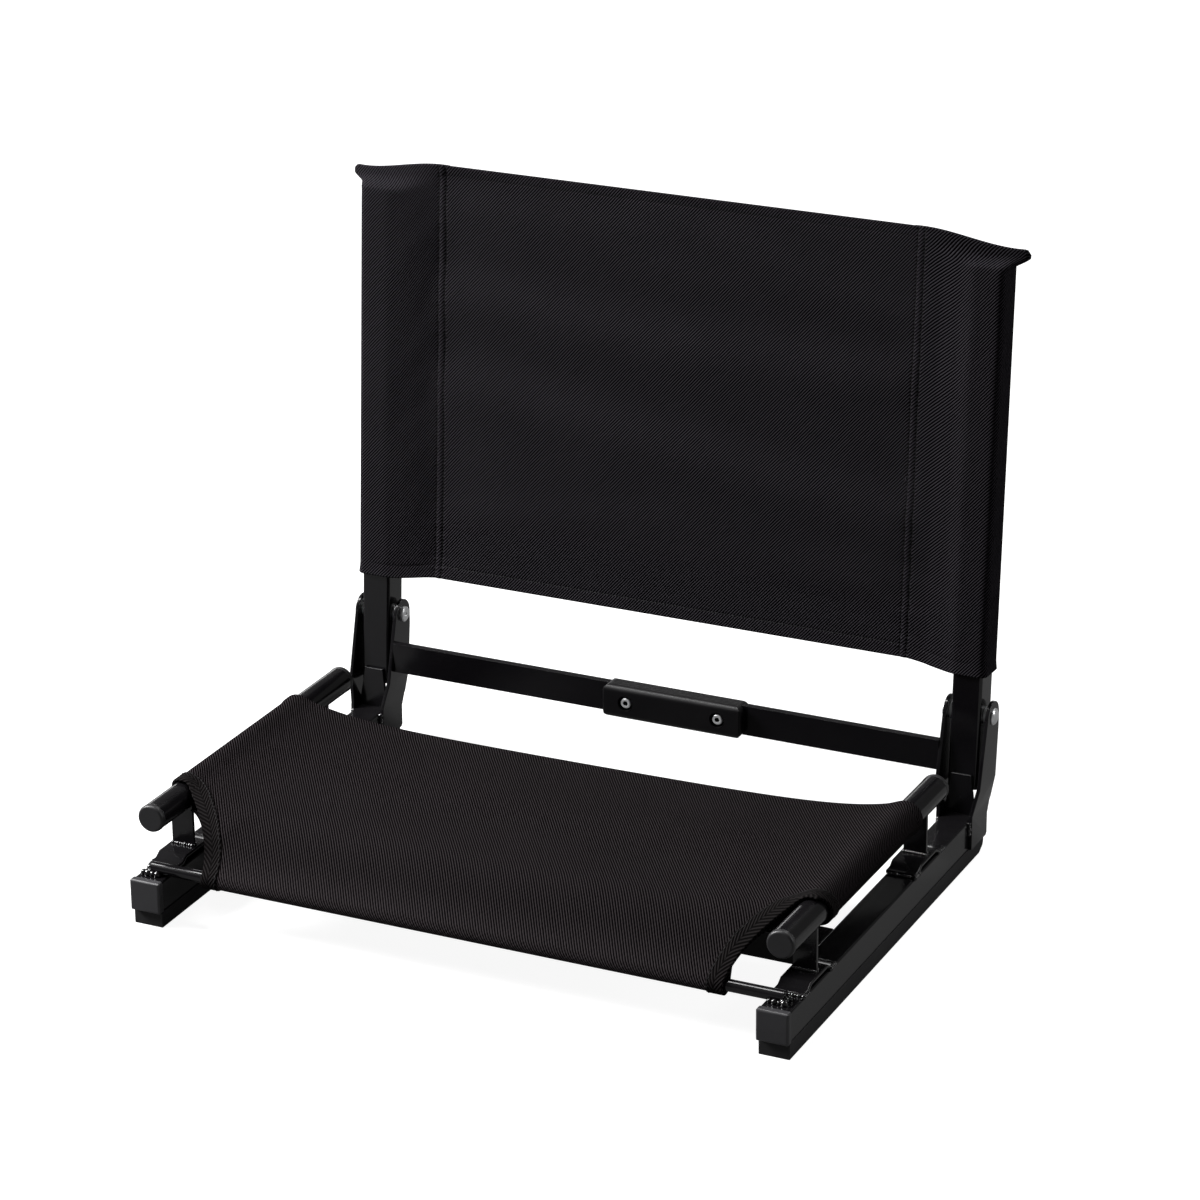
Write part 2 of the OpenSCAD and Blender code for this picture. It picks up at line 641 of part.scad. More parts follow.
// The same points where the two layers are sewn flat at the top, out to the tip
back_tip = 29.5;
back_x = [0, 0.2, 0.4, 0.55, 0.78, 0.9, 1];
back_flat = [for (i = [0 : 13]) let (k = i < 7 ? i : 13 - i, a = back_x[k])
    [mix(back_s, back_tip, a), mix(-panel_u, -3, a*a) + (i < 7 ? cloth : -cloth)]];
back_v = [for (v = [0 : 30 : 300]) sling_low - 4 + v*(post_up - 46)/300];
back_sleeve_v = concat(back_v, [post_up - 8, post_up + 0.7, post_up + 5.5, post_up + 10, sling_top - 10.5]);
back_close = concat([for (v = back_v) 0], [0, 0.02, 0.5, 0.9, 1]);
back_cols = [for (a = [-0.976, -0.75, -0.5, -0.25, 0, 0.25, 0.5, 0.75, 0.976]) -a*seam_half];
function back_panel_v(k) = mix(sling_low, sling_top,
    (back_sleeve_v[k] - back_sleeve_v[0])/(back_sleeve_v[15] - back_sleeve_v[0]));
// Shallow creases that run across the panel
function back_crease(x, v) = crease*cos(x*86/seam_half)*(sin(3.1*v + 0.12*x) + 0.5*sin(4.9*v - 0.2*x))
    *smooth((v - sling_low)/60)*smooth((sling_top - v)/60);
function back_point(p, k, i) = let (
        b = smooth((p[0] - back_s)/(k < 14 ? 42 : 80)), s = back_sleeve_v[k])
    [gx + p[0], p[1], mix(back_panel_v(k), s, b)];
function back_level(k) = let (
        o = [for (i = [0 : 13]) mix(back_round[i], back_flat[i], back_close[k])],
        w = inner_line(o, cloth*mix(1, 0.8, back_close[k]), [back_s + 7, -panel_u]),
        v = back_panel_v(k),
        top = [for (x = back_cols) [x, -panel_u + cloth/2 + back_crease(x, v), v]],
        low = [for (x = back_cols) [x, -panel_u - cloth/2 + back_crease(x, v), v]])
    level_points([for (i = [0 : 13]) back_point(o[i], k, i)],
        [for (i = [0 : 12]) back_point(w[i], k, i)], top, low);

// The overall depth runs from the front caps to the back sling's rearmost point,
// and the frame's origin lies at its middle
depth = pivot_y + max([for (k = [10 : 13], p = back_level(k)) p[2]*sin(recline) - p[1]*cos(recline)]);

// Back sling: one sheet with a sleeve over each post, sewn shut at the top
module back_sling() {
    pts = [for (k = [0 : 15]) each back_level(k)];
    color(canvas) on_hinge() polyhedron([for (p = pts) [p[0], -p[1], p[2]]],
        sling_faces(14, 9, 16, true), convexity = 8);
}

// Seat sling. Height of its face above the ground at a distance in from the tube's axis
seat_ro = (tube_r + cloth_gap)/cos(15) + cloth;
seat_rise = tube_z + seat_ro*0.78 - seat_z;
seat_seam = 40;
function seat_face(d) = seat_z + seat_rise*exp(-(d - 8)/45);
// The cross-section from the seam over the tube and back below it to the seam
seat_outer = concat(
    [for (d = [seat_seam, 28, 17]) [-d, seat_face(d) - tube_z]],
    [for (a = [120 : -30 : -120]) [seat_ro*cos(a), seat_ro*sin(a)]],
    [for (t = [0.25, 0.5, 0.75, 1]) [mix(-seat_ro*0.5, -seat_seam, t),
        mix(-seat_ro*0.866, seat_face(seat_seam) - tube_z - 2*cloth, t)]]);
// Share of the slant at each of those points
seat_slant = [0, 0, 0.1, 0.2, 0.3, 0.5, 0.75, 0.95, 1, 1.1, 1.1, 1.1, 0.9, 0.7, 0.4, 0.1];
seat_cols = [for (a = [212, 194, 160, 100, 0, -100, -160, -194, -212]) a*(gx - 45)/219.5];
// Skew and lean of the cloth
function seat_place(p) = let (y = p[1] + sling_skew*p[0]/gx) [p[0], y, p[2] - (y - tube_y0)*tan(seat_tilt)];
function seat_level(y, slant) = let (
        n = len(seat_outer),
        w = inner_line(seat_outer, cloth, [-seat_seam + 3, seat_face(seat_seam - 3) - tube_z - cloth - 0.8]),
        f = [for (x = seat_cols) seat_face(gx - abs(x))])
    [for (p = level_points(
        [for (i = [0 : n - 1]) [gx + seat_outer[i][0], tube_z + seat_outer[i][1], slant*seat_slant[i]]],
        [for (i = [0 : n - 2]) [gx + w[i][0], tube_z + w[i][1], slant*seat_slant[i]]],
        [for (i = [0 : 8]) [seat_cols[i], f[i], 0]],
        [for (i = [0 : 8]) [seat_cols[i], f[i] - cloth, 0]])) seat_place([p[0], y + p[2], p[1]])];

// The apron falls from the seat (t = 1) to the front rod (t = 0)
wrap_gap = 1.2;
wrap_r = rod_d/2 + wrap_gap + cloth/2;
wrap_a = 42;
rod_z = rail_z1 + rod_d/2;
apron_y0 = rod_y - wrap_r*sin(wrap_a);
apron_z0 = rod_z + wrap_r*cos(wrap_a);
apron_l = sleeve_y0 - apron_y0;
// Side edge of the apron, a curve that opens towards the tube
function cut_t(t) = min(1, max(0, (t*apron_l + 3)/(apron_l + 3)));
function cut_edge(t) = apron_half + (gx - 7 - apron_half)*pow(cut_t(t), 1.75);
function cut_slope(t) = 1.75*(gx - 7 - apron_half)*pow(cut_t(t), 0.75)/apron_l;
// Columns across the apron, the outer two on each side under the tape
function apron_cols(t) = let (e = cut_edge(t), w = tape_width*norm([1, cut_slope(t)]), i = e - w)
    concat([-e, -e + w/2], [for (a = [-1, -0.8, -0.5, 0, 0.5, 0.8, 1]) a*i], [e - w/2, e]);
// A point of its middle surface
function apron_at(x, t) = let (
        u = min(1, t), y = apron_y0 + t*apron_l, l = tan(wrap_a)*apron_l,
        rise = (seat_face(gx - abs(x)) - seat_z)*pow(u, 1.5),
        z = (2*u*u*u - 3*u*u + 1)*apron_z0 + (u*u*u - 2*u*u + u)*l + (3*u*u - 2*u*u*u)*(seat_z + rise - cloth/2),
        ys = y + sling_skew*x/gx*smooth(t))
    [x, ys, z - (ys - tube_y0)*tan(seat_tilt)*smooth(t)];
function apron_normal(x, t) = let (d = apron_at(x, t + 0.01) - apron_at(x, t - 0.01)) [0, -d[2], d[1]]/norm([d[1], d[2]]);
// Rows of points and normals, from the seat to the hem behind the rod
function apron_row(t, k) = [for (x = apron_cols(t)) [apron_at(x, t), t >= 1 ? [0, 0, k] : apron_normal(x, t)]];
apron_rows = concat(
    [apron_row(1 + 5/apron_l, 0.5), apron_row(1 + 1/apron_l, 0.7)],
    [for (t = [0.975, 0.88, 0.76, 0.64, 0.52, 0.4, 0.28, 0.16, 0.06]) apron_row(t, 1)],
    [for (w = [0 : 30 : 210]) let (g = 90 + wrap_a + w, n = [0, cos(g), sin(g)])
        [for (x = apron_cols(0)) [[x, rod_y, rod_z] + wrap_r*n, n]]],
    [for (s = [8, 16]) let (g = 300 + wrap_a, n = [0, cos(g), sin(g)])
        [for (x = apron_cols(0)) [[x, rod_y, rod_z] + wrap_r*n + s*[0, -n[2], n[1]], n]]]);

// Seat sling: one sheet with a sleeve over each tube and an apron round the front rod
module seat_sling() {
    l = sleeve_y1 - sleeve_y0;
    color(canvas) place() union() {
        polyhedron(concat(seat_level(sleeve_y0, sleeve_slant), seat_level(sleeve_y0 + l*0.35, 0),
            seat_level(sleeve_y0 + l*0.7, 0), seat_level(sleeve_y1, 0)),
            sling_faces(16, 9, 4, false), convexity = 8);
        polyhedron(concat([for (r = apron_rows, p = r) p[0] - p[1]*cloth/2],
            [for (r = apron_rows, p = r) p[0] + p[1]*cloth/2]),
            sheet_faces(len(apron_rows), len(apron_rows[0])), convexity = 6);
    }
}

// Woven tape over one corner cut-out and round the sleeve's front edge
tape_lift = 0.06;
module edge_tape(side) {
    c = side > 0 ? [8, 9, 10] : [0, 1, 2];
    rows = [for (r = [2 : 15]) [for (i = c) apron_rows[r][i]]];
    o = seat_outer;
    ring = [for (i = [1 : 11]) let (d = o[i + 1] - o[i - 1], n = [-d[1], d[0]]/norm(d))
        [for (w = [0.3, tape_width]) [[gx + o[i][0], sleeve_y0 + sleeve_slant*seat_slant[i] + w, tube_z + o[i][1]],
            [n[0], 0, n[1]]]]];
    function at(p, h) = let (q = p[0] + h*p[1]) seat_place([side*q[0], q[1], q[2]]);
    color(binding) place() {
        polyhedron(concat([for (r = rows, p = r) p[0] + p[1]*(cloth/2 + tape_lift)],
            [for (r = rows, p = r) p[0] + p[1]*(cloth/2 + tape_lift + tape_thick)]),
            sheet_faces(len(rows), 3), convexity = 6);
        polyhedron(concat([for (r = ring, p = side > 0 ? r : rev(r)) at(p, tape_lift)],
            [for (r = ring, p = side > 0 ? r : rev(r)) at(p, tape_lift + tape_thick)]),
            sheet_faces(len(ring), 2), convexity = 6);
    }
}

// One node per line
base_rail(-1);  // base_rail_left
base_rail(1);  // base_rail_right
rail_front_cap(-1);  // rail_front_cap_left
rail_front_cap(1);  // rail_front_cap_right
rail_rear_cap(-1);  // rail_rear_cap_left
rail_rear_cap(1);  // rail_rear_cap_right
foot_strip(-1);  // foot_strip_left
foot_strip(1);  // foot_strip_right
front_cross_rod();
under_seat_brace();
saddle(-1, strap_y_front);  // saddle_front_left
saddle(1, strap_y_front);  // saddle_front_right
saddle(-1, strap_y_rear);  // saddle_rear_left
saddle(1, strap_y_rear);  // saddle_rear_right
strap(-1, strap_y_front);  // strap_front_left
strap(1, strap_y_front);  // strap_front_right
strap(-1, strap_y_rear);  // strap_rear_left
strap(1, strap_y_rear);  // strap_rear_right
seat_tube(-1);  // seat_tube_left
seat_tube(1);  // seat_tube_right
seat_tube_front_caps();
seat_tube_rear_caps();
hinge_ear(-1, 1);  // hinge_ear_outer_left
hinge_ear(1, 1);  // hinge_ear_outer_right
hinge_ear(-1, -1);  // hinge_ear_inner_left
hinge_ear(1, -1);  // hinge_ear_inner_right
stop_plate(-1);  // stop_plate_left
stop_plate(1);  // stop_plate_right
pivot_rivets();
spacer_washers();
rear_cross_bar();
handle_grip();
grip_screws();
seat_sling();
edge_tape(-1);  // edge_tape_left
edge_tape(1);  // edge_tape_right
back_post(-1);  // back_post_left
back_post(1);  // back_post_right
post_top_caps();
post_bottom_caps();
back_sling();
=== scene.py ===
import json
import math

import bmesh
import bpy
import numpy as np
from bpy.props import FloatProperty, FloatVectorProperty, IntProperty, PointerProperty
from mathutils import Matrix, Vector

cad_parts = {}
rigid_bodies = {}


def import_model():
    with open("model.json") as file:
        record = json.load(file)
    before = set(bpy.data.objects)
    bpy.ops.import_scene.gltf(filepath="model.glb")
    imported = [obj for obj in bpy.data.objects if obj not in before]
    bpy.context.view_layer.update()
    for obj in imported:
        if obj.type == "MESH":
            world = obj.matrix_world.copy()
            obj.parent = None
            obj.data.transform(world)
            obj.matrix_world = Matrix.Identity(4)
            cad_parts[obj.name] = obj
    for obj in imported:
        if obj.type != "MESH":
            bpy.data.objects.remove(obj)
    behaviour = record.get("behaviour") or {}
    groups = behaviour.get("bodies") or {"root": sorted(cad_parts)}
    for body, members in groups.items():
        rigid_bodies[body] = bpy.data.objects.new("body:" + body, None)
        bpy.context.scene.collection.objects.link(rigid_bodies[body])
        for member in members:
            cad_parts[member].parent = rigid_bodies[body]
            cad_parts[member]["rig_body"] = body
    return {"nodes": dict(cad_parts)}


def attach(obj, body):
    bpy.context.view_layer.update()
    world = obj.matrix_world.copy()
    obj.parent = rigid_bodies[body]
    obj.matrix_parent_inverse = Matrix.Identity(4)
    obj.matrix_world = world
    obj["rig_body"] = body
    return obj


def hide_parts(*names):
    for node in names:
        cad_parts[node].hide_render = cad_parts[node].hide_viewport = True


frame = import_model()

bl_info = {
    "name": "Folding bleacher seat looks",
    "version": (1, 0, 0),
    "blender": (4, 5, 0),
    "location": "3D View > Sidebar > Bleacher seat",
    "description": "Slings, stitching, weld beads, finishes and a plain studio for the folding bleacher seat",
    "category": "Object",
}

# ---------------------------------------------------------------------------
# Sizes of the solid model, in millimetres. Y runs from the front caps.
# ---------------------------------------------------------------------------
HALF_DEPTH = 219.5725       # from the front caps to the middle of the depth
SIDE_X = 264.5              # middles of the rails, tubes and posts
PIVOT = (398.5, 118.0)      # the hinge's line: distance from the front and height
RECLINE = math.radians(4.0)
BACK_LOW, BACK_TOP = 40.0, 390.5  # the back panel's edges up the post
PANEL_H = 7.0               # the panel's distance in front of the posts' middles
SLEEVE_LOW, SLEEVE_TOP = 36, 380  # the back sleeves' edges up the post
SEAM_X = 208.0              # the seams between the panel and its sleeves
TUBE_R, TUBE_Z, TUBE_Y0 = 11.0, 86.5, 14.0
TILT = math.radians(0.5)    # the seat tubes fall a little to the rear
SEAT_Z = 83.0               # the seat's height in its middle
SLEEVE_Y0, SLEEVE_Y1 = 67.0, 256.0  # front and rear edges of the seat's sleeves
SLANT, SKEW = 10.0, 5.0     # the sleeves' fronts slant, and the sewn seat sits a little askew
SEAT_SEAM = 40.0            # the seams under the seat lie this far inside the tubes' middles
CLOTH = 1.4
SEAT_RO = (TUBE_R + 0.4) / math.cos(math.radians(15)) + CLOTH
SLEEVE_R = SEAT_RO - CLOTH / 2
SEAT_RISE = TUBE_Z + SEAT_RO * 0.78 - SEAT_Z
ROD_D, ROD_Y, ROD_Z = 9.5, 19.0, 43.25
WRAP_R, WRAP_A = ROD_D / 2 + 1.2 + CLOTH / 2, math.radians(42)
APRON_Y0 = ROD_Y - WRAP_R * math.sin(WRAP_A)
APRON_Z0 = ROD_Z + WRAP_R * math.cos(WRAP_A)
APRON_L = SLEEVE_Y0 - APRON_Y0
APRON_HALF = 219.5          # half the apron's width at the rod
CUT_INSET = 7.0             # the cut-outs end this far inside the tubes' middles
CUT_LEAD, CUT_BEND = 3, 1.75  # their curve starts this far below the apron, and its power
TAPE_W = 13.0
TAPE_LIFT, THREAD_LIFT = 0.06, 0.05  # air under the tapes and under the middles of the stitches
RAIL_TOP = 38.5
SADDLES_Y = (61.0, 281.0)
EAR_FRONT_Y = PIVOT[0] - 32.6


def metres(p):
    """Points in millimetres from the front caps, moved into the shared frame."""
    return (np.asarray(p, float) - [0, HALF_DEPTH, 0]) / 1000


def on_hinge(x, h, v):
    """Points of the leaning back, h towards the front and v up the post, in millimetres."""
    c, s = math.cos(RECLINE), math.sin(RECLINE)
    return np.stack([x, PIVOT[0] - h * c + v * s, PIVOT[1] + h * s + v * c], -1)


def smooth(t):
    t = np.clip(t, 0, 1)
    return t * t * (3 - 2 * t)


def mix(a, b, t):
    return a + (b - a) * t


def bell(d, width):
    return np.exp(-(d / width) ** 2)


def unit(n):
    return n / np.maximum(np.linalg.norm(n, axis=-1, keepdims=True), 1e-9)


def evened(points, step, soften=0):
    """A polyline cut into equal steps, after its corners are softened."""
    p = np.asarray(points, float)
    d = np.r_[0, np.cumsum(np.linalg.norm(np.diff(p, axis=0), axis=1))]
    n = max(2, int(round(d[-1] / step)) + 1)
    s = np.linspace(0, d[-1], n)
    q = np.stack([np.interp(s, d, p[:, k]) for k in range(p.shape[1])], -1)
    for _ in range(soften):
        q[1:-1] = (q[:-2] + 2 * q[1:-1] + q[2:]) / 4
    return q


def along(points):
    """Distance along a polyline at each of its points."""
    return np.r_[0, np.cumsum(np.linalg.norm(np.diff(points, axis=0), axis=1))]


def arc(cx, cy, r, a0, a1, n):
    a = np.radians(np.linspace(a0, a1, n))
    return np.stack([cx + r * np.cos(a), cy + r * np.sin(a)], -1)


# ---------------------------------------------------------------------------
# Back sling: u runs across the cloth from the middle, v up the post
# ---------------------------------------------------------------------------
SEAM_LAP = 6.0              # the rear layer reaches this far past the seam
REAR_H = 5.6                # height of the rear layer at the seam
SEWN_TIP = 29.5             # the sewn top ends this far outside the post's middle


def back_section(taut):
    """Middle line of a sleeve round the post, and sewn flat, at equal steps. A taut sleeve's
    face slopes evenly from the seam, a slack one stays flat and rises close to the post."""
    seam, flat, bend, out = SEAM_X - SIDE_X, 10.0, 4.7, 14.7
    slope = [(0.08, 0.01)] if taut else [(0.4, 0.17), (0.75, 0.56)]
    front = [[seam, PANEL_H]] + [[mix(seam, -flat, a), mix(PANEL_H, out, b)] for a, b in slope]
    front += [[-flat, out], [flat, out], *arc(flat, flat, bend, 90, 0, 8), [out, 0]]
    rear = [[out, 0], *arc(flat, -flat, bend, 0, -90, 8), [-flat - 1.5, -out]]
    rear += [[mix(seam, -flat, a), mix(REAR_H, -out, b)] for a, b in ((0.7, 0.66), (0.36, 0.31))]
    rear += [[seam, REAR_H], [seam - SEAM_LAP, REAR_H]]
    round_line = [evened(half, 0.4, 5) for half in (front, rear)]
    flat_line = []
    for half, start, low, sewn, ply in ((round_line[0], seam, PANEL_H, PANEL_H, 0.7),
                                        (round_line[1], seam - SEAM_LAP, REAR_H, 6.3, -0.7)):
        b = along(half) / along(half)[-1]
        if ply < 0:
            b = 1 - b
        rim = np.sqrt(np.clip(1 - np.clip((b - 0.985) / 0.015, 0, 1) ** 2, 0, 1))
        h = mix(sewn, -3.0, b * b) + ply * rim
        h = np.where(b < 0.04, mix(low, h, b / 0.04), h)
        flat_line.append(np.stack([mix(start, SEWN_TIP, b), h], -1))
    return tuple(np.vstack([a, b[1:]]) for a, b in (round_line, flat_line))


BACK_ROUND, BACK_FLAT = back_section(False)
BACK_U = SEAM_X + along(BACK_ROUND)
TAUT_ROUND, TAUT_FLAT = back_section(True)
TAUT_U = SEAM_X + along(TAUT_ROUND) / along(TAUT_ROUND)[-1] * (BACK_U[-1] - SEAM_X)

# Long soft folds of the panel: height at the middle, slope and bend across, depth, width, and the
# stretch across that the fold covers. Height and width are shares of the panel's height.
FOLD_DEPTH = 0.15
FOLDS = (
    (0.683, -0.000155, 6.5e-7, 1.0, 0.075, -320, 320),
    (0.437, -0.000417, 0, 1.05, 0.078, -320, 320),
    (0.967, -0.00084, 0, 0.8, 0.055, -30, 320),
    (0.93, 0, 0, 0.5, 0.05, -320, -30),
    (0.16, -0.0002, 0, -0.7, 0.045, 95, 190),
    (0.25, 0.0003, 0, 0.35, 0.05, -320, 0),
)
# How far the sleeve is sewn flat at heights up the post, in millimetres
SEWN_AT = (352, 364, 366.4, 368, 370, 371.6, 374, 380)
SEWN_BY = (0, 0.01, 0.05, 0.22, 0.58, 0.82, 0.95, 1.0)
SEAM_ROW = 3.0              # rows of stitches on both sides of a seam
BACK_HEM, TOP_HEM = 10, 8


def back_relief(x, v, u):
    """Small relief of the back panel: folds, the sewn seams with their puckers, and the hems."""
    size = BACK_TOP - BACK_LOW
    t = (v - BACK_LOW) / size
    seam = np.abs(u) - SEAM_X
    ends = smooth(t / 0.06) * smooth((1 - t) / 0.03)
    # long soft folds that fall a little to the right
    r = 0.0 * x
    for height, slope, bend, depth, width, x0, x1 in FOLDS:
        d = (t - (height + slope * x + bend * x * x)) / width
        side = smooth((x - x0) / 60 + 0.5) * smooth((x1 - x) / 60 + 0.5)
        r = r - depth * FOLD_DEPTH * size * width * d * np.exp(-d * d) * side
    r = r * ends * smooth((12 - seam) / 26)
    # short slanted folds, low beside the right seam and along the left sleeve's slope
    low = smooth((0.42 - t) / 0.12) * smooth(t / 0.05)
    r = r + 0.6 * np.sin(2 * np.pi * (v + 0.45 * x) / 27) * bell(x - SEAM_X, 17) * low
    pulls = np.sin(2 * np.pi * (v - 0.9 * x) / 37 + 1.6 * np.sin(v / 29))
    r = r + 0.11 * pulls * bell(x + SEAM_X + 22, 14) * ends
    # the taut left sleeve draws both its layers and the seam a little to the rear
    layer = np.where(seam > 80, -1, 1)
    r = r - 1.8 * bell(x + SEAM_X, np.where(x < -SEAM_X, 20.0, 36.0)) * ends * layer
    # the sewn seam with its two rows of stitches and the puckers between them
    r = r + 0.55 * bell(seam, 1.9) - 0.45 * bell(seam - SEAM_ROW, 0.8) - 0.5 * bell(seam + SEAM_ROW, 0.8)
    puckers = np.sin(2 * np.pi * v / 7.6 + 1.4 * np.sin(v * 0.11)) + 0.6 * np.sin(2 * np.pi * v / 12.7 + 2)
    r = r + 0.2 * puckers * np.exp(-np.abs(np.abs(seam) - 4) / 4)
    # hems: the lower edge curls forward a little below its row of stitches
    r = r - 0.45 * bell(v - BACK_LOW - BACK_HEM, 1.0) * (seam < 60)
    r = r + 0.9 * np.clip(1 - (v - BACK_LOW) / (BACK_HEM + 1), 0, 1) ** 2
    return r - 0.4 * bell(BACK_TOP - TOP_HEM - v, 1.0) * (seam < 0)


def back_surface(u, v01):
    """Middle surface of the back sling for u across and v01 from the lower to the top edge."""
    a = np.abs(u)
    sv = SLEEVE_LOW + (SLEEVE_TOP - SLEEVE_LOW) * v01
    pv = BACK_LOW + (BACK_TOP - BACK_LOW) * v01
    close = np.interp(sv, SEWN_AT, SEWN_BY)
    spread = smooth((sv - 363.5) / 11.5)
    rx, rh, fx, fh = (np.where(u < 0, np.interp(a, TAUT_U, left[:, k]), np.interp(a, BACK_U, right[:, k]))
                      for left, right in ((TAUT_ROUND, BACK_ROUND), (TAUT_FLAT, BACK_FLAT)) for k in (0, 1))
    px = mix(rx, fx, mix(close, spread, smooth((a - SEAM_X - 30) / 30)))
    panel = a < SEAM_X
    x = np.where(panel, a, SIDE_X + px)
    h = np.where(panel, PANEL_H, mix(rh, fh, close))
    # between the seam and the post the panel's edges turn into the sleeve's
    width = mix(42.0, 80.0, smooth((sv - 366) / 12))
    v = mix(pv, sv, smooth((np.where(panel, a - SIDE_X, px) - (SEAM_X - SIDE_X)) / width))
    # the blunt corner where the two layers end
    v = v - 4.5 * smooth((x - SIDE_X - 24.5) / 5.5) ** 2 * smooth((sv - 372) / 8)
    x = x * np.sign(u)
    # the sleeve bags a little above and below the middle of the post
    sag = 0.5 * np.sin(v / 33.0 + np.sign(u) * 1.3) + 0.3 * np.sin(v / 14.0 + 2 * np.sign(u))
    bag = smooth((a - SEAM_X) / 20) * smooth((SEAM_X + 50 - a) / 20) * (1 - close)
    return x, h + np.where(panel, 0, sag * bag), v, pv


# ---------------------------------------------------------------------------
# Seat sling: u runs across the cloth from the middle, v from the rear edge (256)
# to the front of the sleeves (67), down the apron to the rod, and round the rod
# ---------------------------------------------------------------------------
SEAT_HEM = 8
WRAP_TURN = math.radians(210)
SEAM_UNDER = 2.1            # the sleeve's lower layer lies this far under the face at its seam
# How much of the sleeve's slanted front each point of the solid's section takes
FRONT_SHARES = (0, 0, 0.1, 0.2, 0.3, 0.5, 0.75, 0.95, 1, 1.1, 1.1, 1.1, 0.9, 0.7, 0.4, 0.1)
LOWEST = 11                 # the section's point under the tube


def seat_face(d):
    return SEAT_Z + SEAT_RISE * np.exp(-(d - 8) / 45)


def seat_section():
    """Middle line of the right half, from the middle over the tube to the seam below it."""
    d = np.r_[np.linspace(SIDE_X, 60, 40), np.linspace(58, 14, 23)]
    face = np.stack([-d, seat_face(d) - TUBE_Z - CLOTH / 2], -1)
    loop = arc(0, 0, SLEEVE_R, 112, -118, 40)
    under = seat_face(SEAT_SEAM) - TUBE_Z - SEAM_UNDER
    end = [[mix(loop[-1, 0], -SEAT_SEAM, t), mix(loop[-1, 1], under, t) - 1.2 * math.sin(math.pi * t)]
           for t in (0.25, 0.5, 0.75, 1)]
    end += [[-SEAT_SEAM - 7, seat_face(SEAT_SEAM + 7) - TUBE_Z - SEAM_UNDER]]
    return evened(np.vstack([face, loop, end]), 0.5, 10)


SEAT_LINE = seat_section()
SEAT_U = along(SEAT_LINE)
FACE_ROWS = int(np.argmax(SEAT_LINE[:, 0] > -CUT_INSET)) + 1


def edge_u(x):
    """Distance across the cloth where it is x from the middle, on the face."""
    return np.interp(np.asarray(x) - SIDE_X, SEAT_LINE[:FACE_ROWS, 0], SEAT_U[:FACE_ROWS])


CUT_U = float(edge_u(SIDE_X - CUT_INSET))


def section_u():
    """Distance across the cloth at each of the solid's section points."""
    points = [(-d, seat_face(d) - TUBE_Z - 0.7) for d in (40, 28, 17)]
    points += [(SLEEVE_R * math.cos(a), SLEEVE_R * math.sin(a)) for a in np.radians(range(120, -121, -30))]
    end = (-SEAT_SEAM, seat_face(SEAT_SEAM) - TUBE_Z - 2 * CLOTH)
    points += [(mix(-SEAT_RO * 0.5, end[0], t), mix(-SEAT_RO * 0.866, end[1], t))
               for t in (0.25, 0.5, 0.75, 1)]
    out, k = [], 0
    for p in points:
        k += int(np.argmin(np.hypot(*(SEAT_LINE[k:] - p).T)))
        out.append(SEAT_U[k])
    return np.maximum.accumulate(np.array(out) + np.arange(len(out)) * 1e-6)


SECTION_U = section_u()
LOW_U = float(SECTION_U[LOWEST])


def cut_edge(t):
    """Where a cut-out's edge is across, t from the rod to the sleeves' fronts."""
    c = np.clip((t * APRON_L + CUT_LEAD) / (APRON_L + CUT_LEAD), 0, 1)
    return APRON_HALF + (SIDE_X - CUT_INSET - APRON_HALF) * c ** CUT_BEND


def cut_front(x):
    """Distance from the front at which the cut-out's edge is x from the middle."""
    c = np.clip((x - APRON_HALF) / (SIDE_X - CUT_INSET - APRON_HALF), 0, 1) ** (1 / CUT_BEND)
    return APRON_Y0 + c * (APRON_L + CUT_LEAD) - CUT_LEAD


# Pulls from the apron's corners over the seat: side, slope and height
CORNER_PULLS = ((1, 0.9, 0.6), (1, 0.55, 0.5), (-1, 0.8, 0.5), (-1, 0.5, 0.4))


def seat_relief(u, v):
    """Small relief of the seat: long soft creases from sleeve to sleeve, pulls and the rear hem."""
    r = 0.7 * np.sin(np.radians(2.6 * v + 0.25 * u)) + 0.4 * np.sin(np.radians(4.7 * v - 0.5 * u + 60))
    r = r * smooth((SEAT_U[-1] - 130 - np.abs(u)) / 60) * smooth((v - 60) / 50) * smooth((262 - v) / 40)
    for side, slope, height in CORNER_PULLS:
        line = side * (222 - (v - 30) * slope)
        r = r + height * bell(u - line, 8.0) * smooth((v - 20) / 20) * smooth((140 - v) / 60)
    return r + 0.5 * rear_hem(v) - 0.25 * bell(v - SLEEVE_Y1 + SEAT_HEM, 0.9)


def rear_hem(v):
    return smooth((v - SLEEVE_Y1 + SEAT_HEM + 1.5) / 1.5)


